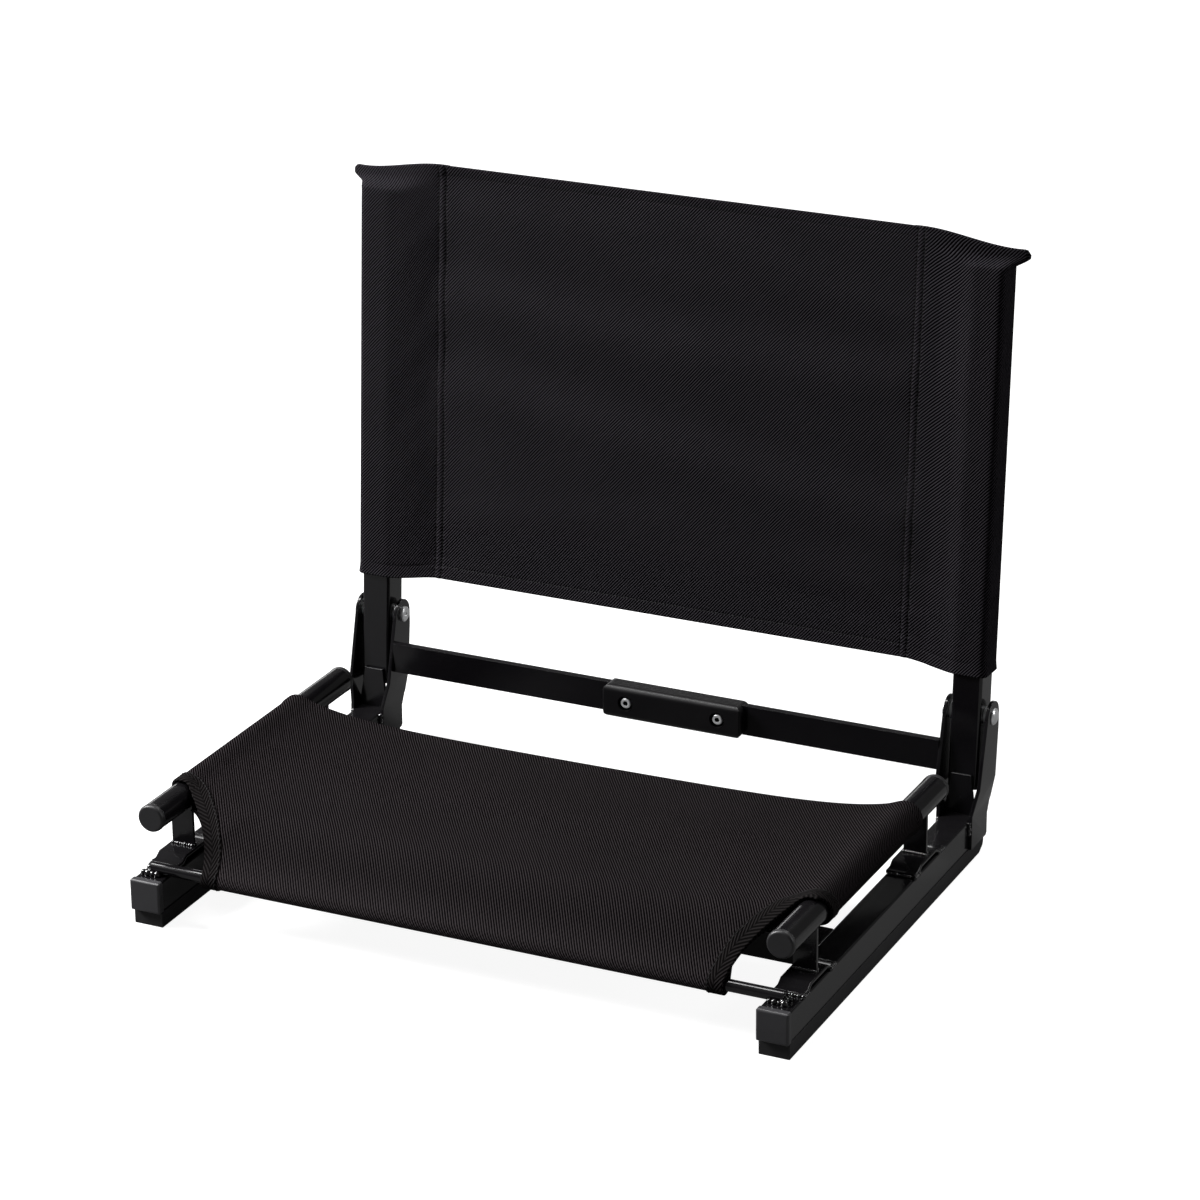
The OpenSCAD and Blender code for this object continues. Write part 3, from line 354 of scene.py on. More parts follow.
def seat_surface(u, v):
    """Middle surface of the seat sling. Its relief is added along the normal later."""
    u, v = np.broadcast_arrays(np.asarray(u, float), np.asarray(v, float))
    a = np.abs(u)
    x = SIDE_X + np.interp(a, SEAT_U, SEAT_LINE[:, 0])
    z0 = TUBE_Z + np.interp(a, SEAT_U, SEAT_LINE[:, 1])
    # sleeve and panel
    share = np.interp(a, SECTION_U, FRONT_SHARES, left=0)
    ym = v + SLANT * share * smooth((SLEEVE_Y0 + 66 - v) / 66)
    # apron
    t = (v - APRON_Y0) / APRON_L
    w = np.clip(t, 0, 1)
    top = SEAT_Z + (z0 - SEAT_Z) * w ** 1.5
    za = ((2 * w ** 3 - 3 * w ** 2 + 1) * APRON_Z0 + (3 * w ** 2 - 2 * w ** 3) * top
          + (w ** 3 - 2 * w ** 2 + w) * math.tan(WRAP_A) * APRON_L)
    # round the rod
    g = math.pi / 2 + WRAP_A + np.clip((APRON_Y0 - v) / WRAP_R, 0, WRAP_TURN)
    past = np.clip(APRON_Y0 - v - WRAP_R * WRAP_TURN, 0, None)
    yr = ROD_Y + WRAP_R * np.cos(g) - past * np.sin(g)
    zr = ROD_Z + WRAP_R * np.sin(g) + past * np.cos(g)
    x = x * np.sign(u)
    y = np.where(t >= 1, ym, np.where(t >= 0, v, yr))
    z = np.where(t >= 1, z0, np.where(t >= 0, za, zr))
    k = np.where(t >= 1, 1.0, smooth(t))
    y = y + SKEW * x / SIDE_X * k
    return np.stack([x, y, z - (y - TUBE_Y0) * math.tan(TILT) * k], -1)


def seat_normal(u, v, e=0.25):
    du = seat_surface(u + e, v) - seat_surface(u - e, v)
    dv = seat_surface(u, v + e) - seat_surface(u, v - e)
    return unit(np.cross(du, dv))


def edge_line(step):
    """The right cut-out's edge in (u, v): under the tube, over it, along the curve, round the rod."""
    ring_u = np.linspace(LOW_U, CUT_U, 60)
    ring = np.stack([ring_u, np.full_like(ring_u, SLEEVE_Y0)], -1)
    t = np.linspace(1, 0, 50)[1:]
    curve = np.stack([edge_u(cut_edge(t)), APRON_Y0 + t * APRON_L], -1)
    wrap = np.linspace(0, WRAP_R * math.radians(205), 24)[1:]
    rest = np.stack([np.full_like(wrap, curve[-1, 0]), APRON_Y0 - wrap], -1)
    return evened(np.vstack([ring, curve, rest]), step, 10)


# ---------------------------------------------------------------------------
# Mesh helpers
# ---------------------------------------------------------------------------
RIM_ROUND = 0.8             # a sheet's rim stands out by this share of half its thickness


def link(ob):
    bpy.context.scene.collection.objects.link(ob)
    return ob


def remove_piece(name):
    """Takes away an earlier copy of a piece, so that an operator can be run again."""
    old = bpy.data.objects.get(name)
    if old:
        bpy.data.objects.remove(old)


def sheet_object(name, p, n, uv, thick, live=None):
    """A sheet with thickness from a grid of middle points p, normals n and uv, and rounded rims.
    live says which cells are kept. Points in millimetres from the front caps."""
    rows, cols = p.shape[:2]
    if live is None:
        live = np.ones((rows - 1, cols - 1), bool)
    idx = -np.ones((rows, cols), int)
    used = np.zeros((rows, cols), bool)
    used[:-1, :-1] |= live
    used[1:, :-1] |= live
    used[:-1, 1:] |= live
    used[1:, 1:] |= live
    idx[used] = np.arange(used.sum())
    half = (thick if np.ndim(thick) else np.full((rows, cols), float(thick)))[..., None] / 2
    top, low = (p + n * half)[used], (p - n * half)[used]
    count = len(top)
    i, j = np.nonzero(live)
    quads = np.stack([idx[i, j], idx[i, j + 1], idx[i + 1, j + 1], idx[i + 1, j]], -1)
    a, b, d = top[quads[:, 0]], top[quads[:, 1]], top[quads[:, 3]]
    if (np.cross(b - a, d - a) * n[used][quads[:, 0]]).sum() < 0:
        quads = quads[:, ::-1]
    edges = np.vstack([np.stack([quads[:, k], quads[:, (k + 1) % 4]], -1) for k in range(4)])
    seen = {(x, y) for x, y in edges.tolist()}
    rim = [(x, y) for x, y in edges.tolist() if (y, x) not in seen]
    mid = p[used]
    out = np.zeros((count, 3))
    up = n[used]
    for x, y in rim:
        t = mid[y] - mid[x]
        o = np.cross(t, up[x])
        o /= max(np.linalg.norm(o), 1e-9)
        out[x] += o
        out[y] += o
    ring = sorted({v for e in rim for v in e})
    ringno = {v: 2 * count + k for k, v in enumerate(ring)}
    verts = np.vstack([top, low, mid[ring] + unit(out[ring]) * half[used][ring] * RIM_ROUND])
    faces = quads.tolist() + [[v + count for v in q[::-1]] for q in quads.tolist()]
    for x, y in rim:
        faces += [[y, x, ringno[x], ringno[y]], [x + count, y + count, ringno[y], ringno[x]]]
    mesh = bpy.data.meshes.new(name)
    mesh.from_pydata(metres(verts).tolist(), [], faces)
    flat = uv[used] / 1000
    all_uv = np.vstack([flat, flat, flat[ring]])
    layer = mesh.uv_layers.new(name="cloth")
    loops = np.zeros(len(mesh.loops), int)
    mesh.loops.foreach_get("vertex_index", loops)
    layer.data.foreach_set("uv", all_uv[loops].astype(np.float32).ravel())
    mesh.shade_smooth()
    mesh.update()
    remove_piece(name)
    return link(bpy.data.objects.new(name, mesh))


def grid_normals(p):
    """Normals of a grid of points, u along the columns and v along the rows."""
    return unit(np.cross(np.gradient(p, axis=1), np.gradient(p, axis=0)))


def polished(node, finish, bevel, slot):
    """A merged copy of a CAD node with softened edges, shown in its place."""
    source = frame["nodes"][node]
    name = node + "_finished"
    remove_piece(name)
    mesh = source.data.copy()
    bm = bmesh.new()
    bm.from_mesh(mesh)
    bmesh.ops.remove_doubles(bm, verts=bm.verts, dist=2e-6)
    bmesh.ops.dissolve_limit(bm, angle_limit=math.radians(1.0), verts=bm.verts, edges=bm.edges)
    bmesh.ops.recalc_face_normals(bm, faces=bm.faces)
    bm.to_mesh(mesh)
    bm.free()
    ob = link(bpy.data.objects.new(name, mesh))
    mesh.shade_smooth()
    mod = ob.modifiers.new("edges", "BEVEL")
    mod.width = bevel / 1000
    mod.segments = 2
    mod.limit_method = "ANGLE"
    mod.angle_limit = math.radians(35)
    mod.miter_outer = "MITER_ARC"
    flat = ob.modifiers.new("even shading", "WEIGHTED_NORMAL")
    flat.mode = "FACE_AREA"
    flat.weight = 80
    flat.keep_sharp = True
    deps = bpy.context.evaluated_depsgraph_get()
    made = bpy.data.meshes.new_from_object(ob.evaluated_get(deps))
    ob.modifiers.clear()
    ob.data = made
    bpy.data.meshes.remove(mesh)
    made.name = name
    for k in ("NORMAL", "UVMap"):
        if k in made.uv_layers:
            made.uv_layers.remove(made.uv_layers[k])
    made.materials.clear()
    made.materials.append(material(finish))
    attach(ob, source["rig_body"])
    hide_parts(node)
    return ob


# ---------------------------------------------------------------------------
# Shader node helpers and shared effects
# ---------------------------------------------------------------------------
def set_inputs(tree, node, values):
    """Sets a node's inputs, each from a number, a colour or another node's output."""
    for k, v in values.items():
        if isinstance(v, bpy.types.NodeSocket):
            tree.links.new(v, node.inputs[k])
        else:
            node.inputs[k].default_value = v
    return node


def add(tree, kind, values=None, **props):
    n = tree.nodes.new(kind)
    for k, v in props.items():
        setattr(n, k, v)
    return set_inputs(tree, n, values or {})


def maths(tree, operation, a, b=0.0, c=0.0, clamp=False):
    return add(tree, "ShaderNodeMath", {0: a, 1: b, 2: c}, operation=operation, use_clamp=clamp).outputs[0]


def ramp(tree, value, low, high, to_low=0.0, to_high=1.0, **props):
    values = {"Value": value, "From Min": low, "From Max": high, "To Min": to_low, "To Max": to_high}
    return add(tree, "ShaderNodeMapRange", values, **props).outputs[0]


def noise(tree, vector, scale, detail):
    return add(tree, "ShaderNodeTexNoise", {"Vector": vector, "Scale": scale, "Detail": detail}).outputs[0]


def split(tree, vector):
    return add(tree, "ShaderNodeSeparateXYZ", {0: vector}).outputs


def wave(tree, turns):
    """A sine of so many turns, from 0 to 1."""
    sine = maths(tree, "SINE", maths(tree, "MULTIPLY", turns, 2 * math.pi))
    return maths(tree, "MULTIPLY_ADD", sine, 0.5, 0.5)


def new_tree(name, kind):
    old = bpy.data.node_groups.get(name)
    if old:
        bpy.data.node_groups.remove(old)
    return bpy.data.node_groups.new(name, kind)


def shade_group(name, inputs, outputs):
    """A new shader node group that takes a vector and the given numbers, ready for nodes.
    Gives back the tree, its inputs and a function that links a value to an output."""
    tree = new_tree(name, "ShaderNodeTree")
    tree.interface.new_socket("Vector", in_out="INPUT", socket_type="NodeSocketVector")
    for label, default in inputs.items():
        kind = "NodeSocketVector" if default is None else "NodeSocketFloat"
        s = tree.interface.new_socket(label, in_out="INPUT", socket_type=kind)
        if default is not None:
            s.default_value = default
    for label in outputs:
        tree.interface.new_socket(label, in_out="OUTPUT", socket_type="NodeSocketFloat")
    into, out = tree.nodes.new("NodeGroupInput"), tree.nodes.new("NodeGroupOutput")
    return tree, into.outputs, lambda label, value: tree.links.new(value, out.inputs[label])


def twill_group():
    """Twill weave from a flat cloth map in metres: thread height, and a mask that paints shade in the grooves
    between the ribs from that height, with random specks.
    """
    t, given, give = shade_group("Twill weave", {"Pitch": 0.0017, "Turn": 0.0, "Unevenness": 0.5},
                                 ("Height", "Mask", "Cloud"))
    place = split(t, given["Vector"])
    uneven = maths(t, "SUBTRACT", noise(t, given["Vector"], 260.0, 2.0), 0.5)
    uneven = maths(t, "MULTIPLY", uneven, given["Unevenness"])
    u, v = (maths(t, "DIVIDE", place[k], given["Pitch"]) for k in (0, 1))
    co, si = maths(t, "COSINE", given["Turn"]), maths(t, "SINE", given["Turn"])
    diagonal = maths(t, "ADD", maths(t, "MULTIPLY_ADD", u, co, maths(t, "MULTIPLY", v, si)), uneven)
    across = maths(t, "SUBTRACT", maths(t, "MULTIPLY", v, co), maths(t, "MULTIPLY", u, si))
    rib, cut = wave(t, diagonal), wave(t, maths(t, "MULTIPLY", across, 0.62))
    height = maths(t, "MULTIPLY", rib, maths(t, "MULTIPLY_ADD", cut, 0.28, 0.72))
    give("Height", height)
    # painted shade: the mask is darker in the grooves, from the thread height, and the specks are random tone
    speck = maths(t, "MULTIPLY_ADD", noise(t, given["Vector"], 420.0, 2.0), 0.6, -0.80)
    give("Mask", maths(t, "MULTIPLY_ADD", height, 2.2, speck, clamp=True))
    give("Cloud", noise(t, given["Vector"], 14.0, 3.0))


def herringbone_group():
    """Herringbone tape from its own map in metres, x across its width: thread height, and a mask that paints
    shade in the grooves and along the spine, with random specks.
    """
    t, given, give = shade_group("Herringbone", {"Width": 0.013, "Pitch": 0.0019}, ("Height", "Mask"))
    place = split(t, given["Vector"])
    middle = maths(t, "SUBTRACT", place[0], maths(t, "MULTIPLY", given["Width"], 0.5))
    middle = maths(t, "ABSOLUTE", middle)
    lean = maths(t, "ADD", place[1], maths(t, "MULTIPLY", middle, 1.25))
    rows = wave(t, maths(t, "DIVIDE", lean, given["Pitch"]))
    spine = maths(t, "MULTIPLY", maths(t, "SUBTRACT", 0.0009, middle, clamp=True), 500.0)
    height = maths(t, "MULTIPLY", rows, maths(t, "SUBTRACT", 1.0, spine, clamp=True))
    give("Height", height)
    # painted shade: the mask is darker in the grooves and along the spine, from the height, and the specks
    # are random tone
    speck = maths(t, "MULTIPLY_ADD", noise(t, given["Vector"], 900.0, 1.0), 0.4, -0.3)
    give("Mask", maths(t, "MULTIPLY_ADD", height, 1.1, speck, clamp=True))


def grain_group():
    """Fine grain of a moulding or of sprayed paint from object coordinates."""
    t, given, give = shade_group("Fine grain", {"Scale": 900.0, "Cloud Scale": 30.0}, ("Height", "Cloud"))
    give("Height", noise(t, given["Vector"], given["Scale"], 2.0))
    give("Cloud", noise(t, given["Vector"], given["Cloud Scale"], 4.0))


def dust_group():
    """A light film of dust on what faces up."""
    t, given, give = shade_group("Dust", {"Normal": None, "Amount": 0.3}, ("Mask",))
    up = split(t, given["Normal"])[2]
    up = maths(t, "MULTIPLY", up, noise(t, given["Vector"], 55.0, 5.0))
    give("Mask", maths(t, "MULTIPLY", up, given["Amount"], clamp=True))


def wear_group():
    """A thin worn line along outer edges, from the difference of rounded and true normals."""
    t, given, give = shade_group("Edge wear", {"Radius": 0.0008, "Amount": 0.5}, ("Mask",))
    true = add(t, "ShaderNodeNewGeometry").outputs["True Normal"]
    rounded = add(t, "ShaderNodeBevel", {"Radius": given["Radius"]}, samples=4).outputs[0]
    dot = add(t, "ShaderNodeVectorMath", {0: true, 1: rounded}, operation="DOT_PRODUCT").outputs["Value"]
    edge = maths(t, "MULTIPLY", maths(t, "SUBTRACT", 1.0, dot), 5.0, clamp=True)
    edge = maths(t, "MULTIPLY", edge, noise(t, given["Vector"], 120.0, 4.0))
    give("Mask", maths(t, "MULTIPLY", edge, given["Amount"], clamp=True))


def group(tree, name, values):
    n = tree.nodes.new("ShaderNodeGroup")
    n.node_tree = bpy.data.node_groups[name]
    return set_inputs(tree, n, values).outputs


def new_material(name):
    old = bpy.data.materials.get(name)
    if old:
        bpy.data.materials.remove(old)
    m = bpy.data.materials.new(name)
    m.use_nodes = True
    t = m.node_tree
    t.nodes.clear()
    out = t.nodes.new("ShaderNodeOutputMaterial")
    bsdf = t.nodes.new("ShaderNodeBsdfPrincipled")
    t.links.new(bsdf.outputs[0], out.inputs[0])
    return m, t, bsdf


def blend_colour(t, mask, a, b):
    n = add(t, "ShaderNodeMix", {}, data_type="RGBA")
    return set_inputs(t, n, {0: mask, 6: a, 7: b}).outputs[2]


def rgba(c, k=1.0):
    return (c[0] * k, c[1] * k, c[2] * k, 1.0)


def woven(t, b, weave, smoothest, specular):
    """Roughness and bump that every woven finish takes from its weave."""
    bump = add(t, "ShaderNodeBump", {"Height": weave["Height"], "Strength": 0.8, "Distance": 0.0006})
    set_inputs(t, b, {"Roughness": ramp(t, weave["Mask"], 0, 1, 0.95, smoothest), "Normal": bump.outputs[0],
                      "Specular IOR Level": specular})


def cloth_material(name, colour, pitch, turn, taut=None):
    """Woven cloth, with painted shade between the weave's ribs. With taut, two distances along its map, a
    painted highlight lightens the band between them, and more where the cloth goes round the rod."""
    _, t, b = new_material(name)
    uv = add(t, "ShaderNodeUVMap", uv_map="cloth").outputs[0]
    weave = group(t, "Twill weave", {"Vector": uv, "Pitch": pitch, "Turn": math.radians(turn),
                                     "Unevenness": 0.18})
    cloud = maths(t, "MULTIPLY_ADD", weave["Cloud"], 0.12, -0.06)
    mask = maths(t, "ADD", weave["Mask"], cloud, clamp=True)
    light = rgba(colour, 2.8)
    # painted highlight: the band between the two distances on the apron, and round the rod, is painted
    # lighter
    if taut:
        v = split(t, uv)[1]
        pull = ramp(t, v, *taut, interpolation_type="SMOOTHSTEP")
        mask = maths(t, "MULTIPLY", mask, maths(t, "MULTIPLY_ADD", pull, 0.85, 1.0))
        rod = ramp(t, v, (APRON_Y0 - 2) / 1000, (APRON_Y0 - 14) / 1000)
        painted_highlight = maths(t, "MULTIPLY_ADD", pull, 0.08, rod, clamp=True)
        light = blend_colour(t, painted_highlight, light, rgba(colour, 10.0))
    t.links.new(blend_colour(t, mask, rgba(colour, 0.08), light), b.inputs["Base Color"])
    woven(t, b, weave, 0.78, 0.0)


def tape_material(name, colour):
    _, t, b = new_material(name)
    uv = add(t, "ShaderNodeUVMap", uv_map="cloth").outputs[0]
    bone = group(t, "Herringbone", {"Vector": uv, "Width": TAPE_W / 1000, "Pitch": 0.0033})
    # painted shade from the herringbone's mask, darker in the grooves
    base = blend_colour(t, bone["Mask"], rgba(colour, 0.3), rgba(colour, 1.95))
    t.links.new(base, b.inputs["Base Color"])
    woven(t, b, bone, 0.7, 0.03)


DUST_COLOUR, WORN_COLOUR = (0.35, 0.34, 0.33, 1), (0.04, 0.04, 0.042, 1)


def hard_material(name, colour, rough, grain, grain_scale, metallic=0.0, coat=0.0, spec=0.5, dust=0.0,
                  wear=0.0):
    """Painted, moulded or plated finish with grain, cloudy roughness, dust and worn edges."""
    _, t, b = new_material(name)
    place = add(t, "ShaderNodeTexCoord").outputs["Object"]
    normal = add(t, "ShaderNodeNewGeometry").outputs["Normal"]
    g = group(t, "Fine grain", {"Vector": place, "Scale": grain_scale, "Cloud Scale": 28.0})
    film = group(t, "Dust", {"Vector": place, "Normal": normal, "Amount": dust})[0]
    base = blend_colour(t, g["Cloud"], rgba(colour, 0.8), rgba(colour, 1.2))
    base = blend_colour(t, maths(t, "MULTIPLY", film, 0.15), base, DUST_COLOUR)
    if wear:
        worn = group(t, "Edge wear", {"Vector": place, "Radius": 0.0007, "Amount": wear})[0]
        base = blend_colour(t, worn, base, WORN_COLOUR)
    cloudy = maths(t, "MULTIPLY_ADD", g["Cloud"], rough * 0.5, rough * 0.75)
    bump = add(t, "ShaderNodeBump", {"Height": g["Height"], "Strength": 1.0, "Distance": grain}).outputs[0]
    set_inputs(t, b, {"Base Color": base, "Metallic": metallic, "Coat Weight": coat, "Coat Roughness": 0.06,
                      "Specular IOR Level": spec, "Normal": bump,
                      "Roughness": maths(t, "ADD", cloudy, maths(t, "MULTIPLY", film, 0.25), clamp=True)})


# ---------------------------------------------------------------------------
# Geometry node trees
# ---------------------------------------------------------------------------
def row_tree(name, segments, rings):
    """Instances along polylines: stitches, or the overlapping scales of a weld bead."""
    t = new_tree(name, "GeometryNodeTree")
    face = t.interface
    face.new_socket("Geometry", in_out="INPUT", socket_type="NodeSocketGeometry")
    for label, default in (("Pitch", 0.0036), ("Length", 0.003), ("Thickness", 0.0005), ("Variation", 0.1)):
        face.new_socket(label, in_out="INPUT", socket_type="NodeSocketFloat").default_value = default
    face.new_socket("Seed", in_out="INPUT", socket_type="NodeSocketInt").default_value = 3
    face.new_socket("Material", in_out="INPUT", socket_type="NodeSocketMaterial")
    face.new_socket("Geometry", in_out="OUTPUT", socket_type="NodeSocketGeometry")
    given, out = t.nodes.new("NodeGroupInput").outputs, t.nodes.new("NodeGroupOutput")
    curve = add(t, "GeometryNodeMeshToCurve", {"Mesh": given["Geometry"]})
    points = add(t, "GeometryNodeCurveToPoints", {"Curve": curve.outputs[0], "Length": given["Pitch"]},
                 mode="LENGTH").outputs
    ball = add(t, "GeometryNodeMeshUVSphere", {"Segments": segments, "Rings": rings, "Radius": 0.5})
    ball = add(t, "GeometryNodeSetShadeSmooth", {"Geometry": ball.outputs["Mesh"]})
    turn = add(t, "FunctionNodeAlignRotationToVector", {"Vector": points["Tangent"]}, axis="Z")
    size = add(t, "ShaderNodeCombineXYZ", {"X": given["Thickness"], "Y": given["Thickness"],
                                           "Z": given["Length"]})
    least, most = (maths(t, sign, 1.0, given["Variation"]) for sign in ("SUBTRACT", "ADD"))
    any_size = add(t, "FunctionNodeRandomValue", {"Seed": given["Seed"], 2: least, 3: most},
                   data_type="FLOAT").outputs[1]
    scale = add(t, "ShaderNodeVectorMath", {0: size.outputs[0], "Scale": any_size}, operation="SCALE")
    copies = add(t, "GeometryNodeInstanceOnPoints", {
        "Points": points["Points"], "Instance": ball.outputs[0], "Rotation": turn.outputs[0],
        "Scale": scale.outputs[0]})
    real = add(t, "GeometryNodeRealizeInstances", {"Geometry": copies.outputs[0]})
    finished = add(t, "GeometryNodeSetMaterial", {"Geometry": real.outputs[0],
                                                  "Material": given["Material"]})
    t.links.new(finished.outputs[0], out.inputs[0])
    return t


def rows_object(name, tree, lines, values, body):
    """One plain mesh of the instances along all the lines, points in millimetres from the front caps."""
    verts, edges = [], []
    for line in lines:
        n = len(verts)
        verts += metres(line).tolist()
        edges += [(n + k, n + k + 1) for k in range(len(line) - 1)]
    source = bpy.data.meshes.new(name + "_line")
    source.from_pydata(verts, edges, [])
    remove_piece(name)
    ob = link(bpy.data.objects.new(name, source))
    mod = ob.modifiers.new("rows", "NODES")
    mod.node_group = tree
    for item in tree.interface.items_tree:
        if item.item_type == "SOCKET" and item.in_out == "INPUT" and item.name in values:
            mod[item.identifier] = values[item.name]
    made = bpy.data.meshes.new_from_object(ob.evaluated_get(bpy.context.evaluated_depsgraph_get()))
    ob.modifiers.remove(mod)
    ob.data = made
    bpy.data.meshes.remove(source)
    if not len(made.polygons):
        raise RuntimeError(name + " came out empty")
    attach(ob, body)


# ---------------------------------------------------------------------------
# Settings
# ---------------------------------------------------------------------------
def length(label, about, default, low, high):
    return FloatProperty(name=label, description=about, default=default, min=low, max=high,
                         unit="LENGTH", precision=4)


def colour(label, about, default):
    return FloatVectorProperty(name=label, description=about, default=default, min=0, max=1,
                               subtype="COLOR", size=3)


def strength(label, about, default, high):
    return FloatProperty(name=label, description=about, default=default, min=0, max=high)


class BLEACHER_PG_sewing(bpy.types.PropertyGroup):
    cloth: length("Cloth", "Thickness of the sling cloth", 0.0014, 0.0008, 0.002)
    weave: length("Weave pitch", "Distance between two diagonal ribs of the weave", 0.0019, 0.0006, 0.006)
    seam_gap: length("Seam rows", "Distance between the two rows of stitches in a seam", 0.0060, 0.003, 0.009)
    stitch: length("Stitch", "Length of one stitch", 0.0028, 0.001, 0.005)
    stitch_pitch: length("Stitch pitch", "Distance from one stitch to the next", 0.0036, 0.0015, 0.006)
    thread: length("Thread", "Thickness of the sewing thread", 0.0006, 0.0003, 0.0012)
    tape: length("Tape", "Thickness of the woven edge tape", 0.0009, 0.0005, 0.0014)
    seed: IntProperty(name="Seed", description="Fixed seed for the small differences between stitches",
                      default=3, min=0)


class BLEACHER_PG_finish(bpy.types.PropertyGroup):
    cloth: colour("Back cloth", "Colour of the back sling", (0.0112, 0.0103, 0.0120))
    seat: colour("Seat cloth", "Colour of the seat sling", (0.0090, 0.0078, 0.0083))
    tape: colour("Edge tape", "Colour of the woven tape", (0.0062, 0.0054, 0.0055))
    thread: colour("Thread", "Colour of the stitches", (0.006, 0.0058, 0.0065))
    paint: colour("Frame paint", "Colour of the gloss paint on the steel", (0.0030, 0.0027, 0.0034))
    plastic: colour("Caps", "Colour of the moulded caps", (0.0120, 0.0117, 0.0130))
    grip: colour("Grip", "Colour of the moulded grip", (0.0032, 0.0029, 0.0034))
    rubber: colour("Foot strips", "Colour of the rubber strips", (0.0105, 0.0102, 0.0112))
    zinc: colour("Fasteners", "Colour of the bright plated fasteners", (0.86, 0.87, 0.88))


class BLEACHER_PG_stage(bpy.types.PropertyGroup):
    floor: colour("Floor", "Colour of the plain floor", (0.9, 0.9, 0.9))
    back: colour("Background", "Colour behind the object", (1.0, 1.0, 1.0))
    fill: strength("Fill light", "Strength of the even light from all round", 0.04, 3)
    sheen: strength("Reflected room", "Brightness of the room in glossy surfaces", 0.1, 2)
    bounce: strength("Floor bounce", "Share of the light that the floor throws back", 0.12, 1)
    key: strength("Soft boxes", "Strength of the soft boxes", 1.0, 5)


def settings():
    s = bpy.context.scene
    return s.bleacher_sewing, s.bleacher_finish, s.bleacher_stage


def material(name):
    m = bpy.data.materials.get(name)
    if m is None:
        raise RuntimeError("make the finishes first")
    return m


# ---------------------------------------------------------------------------
# Pieces
# ---------------------------------------------------------------------------
class BLEACHER_OT_finishes(bpy.types.Operator):
    """Make every material of the seat, with its shared weave, grain, dust and wear groups"""
    bl_idname = "bleacher.finishes"
    bl_label = "Finishes"
    bl_options = {"REGISTER", "UNDO"}

    def execute(self, context):
        sew, fin, _ = settings()
        for make in (twill_group, herringbone_group, grain_group, dust_group, wear_group):
            make()
        cloth_material("back sling cloth", fin.cloth, sew.weave, -42.0)
        # the last two numbers bound the painted highlight band on the apron
        cloth_material("seat sling cloth", fin.seat, sew.weave, 34.0, (0.036, 0.012))
        tape_material("edge tape", fin.tape)
        hard_material("sewing thread", fin.thread, 0.7, 0.00005, 4000.0, spec=0.3, dust=0.0)
        hard_material("gloss paint", fin.paint, 0.17, 0.00001, 420.0, dust=0.08, wear=0.2)
        hard_material("painted weld", fin.paint, 0.16, 0.00012, 500.0, coat=0.5, spec=0.55, dust=0.08)
        # painted light: the rail front caps take the caps' plastic 2.3 times lighter, for the front light and
        # sheen on them
        hard_material("rail caps painted lighter", [c * 2.3 for c in fin.plastic], 0.36, 0.00008, 900.0, dust=0.2)
        hard_material("moulded caps", fin.plastic, 0.42, 0.00005, 1500.0, spec=0.45, dust=0.2)
        hard_material("moulded grip", fin.grip, 0.34, 0.00008, 1100.0, spec=0.26, dust=0.1)
        hard_material("foot rubber", fin.rubber, 0.62, 0.00008, 1100.0, spec=0.35, dust=0.3)
        # painted shade: the paint's colour, dull, for the insides of the screws' sockets
        hard_material("socket", fin.paint, 0.5, 0.00003, 900.0, spec=0.2, dust=0.0)
        hard_material("bright zinc", fin.zinc, 0.36, 0.00003, 1300.0, metallic=0.7, dust=0.05)
        return {"FINISHED"}


def sewn_sheet(name, body, node, slot, finish, *grid):
    """A sheet of cloth that stands for a node of the solid model."""
    ob = sheet_object(name, *grid)
    ob.data.materials.append(material(finish))
    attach(ob, body)
    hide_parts(node)


def both_halves(half):
    return np.r_[-half[:0:-1], half]


class BLEACHER_OT_back_sling(bpy.types.Operator):
    """Make the back sling: one sheet with a sleeve over each post, sewn shut at the top"""
    bl_idname = "bleacher.back_sling"
    bl_label = "Back sling"
    bl_options = {"REGISTER", "UNDO"}

    def execute(self, context):
        near, far = SEAM_X - 7, SEAM_X + 7
        half = np.r_[np.linspace(0, near, 30), np.linspace(near, far, 29), np.linspace(far, BACK_U[-1], 80)]
        v = np.r_[np.linspace(0, 0.05, 22), np.linspace(0.05, 0.93, 118), np.linspace(0.93, 1, 34)]
        uu, vv = np.meshgrid(both_halves(np.unique(half.round(4))), np.unique(v.round(5)))
        x, h, w, pv = back_surface(uu, vv)
        p = on_hinge(x, h, w)
        p = p + grid_normals(p) * back_relief(x, pv, uu)[..., None]
        sewn_sheet("back_sling_cloth", "backrest", "back_sling", "sling_cloth", "back sling cloth",
                   p, grid_normals(p), np.stack([uu, pv], -1), settings()[0].cloth * 1000)
        return {"FINISHED"}


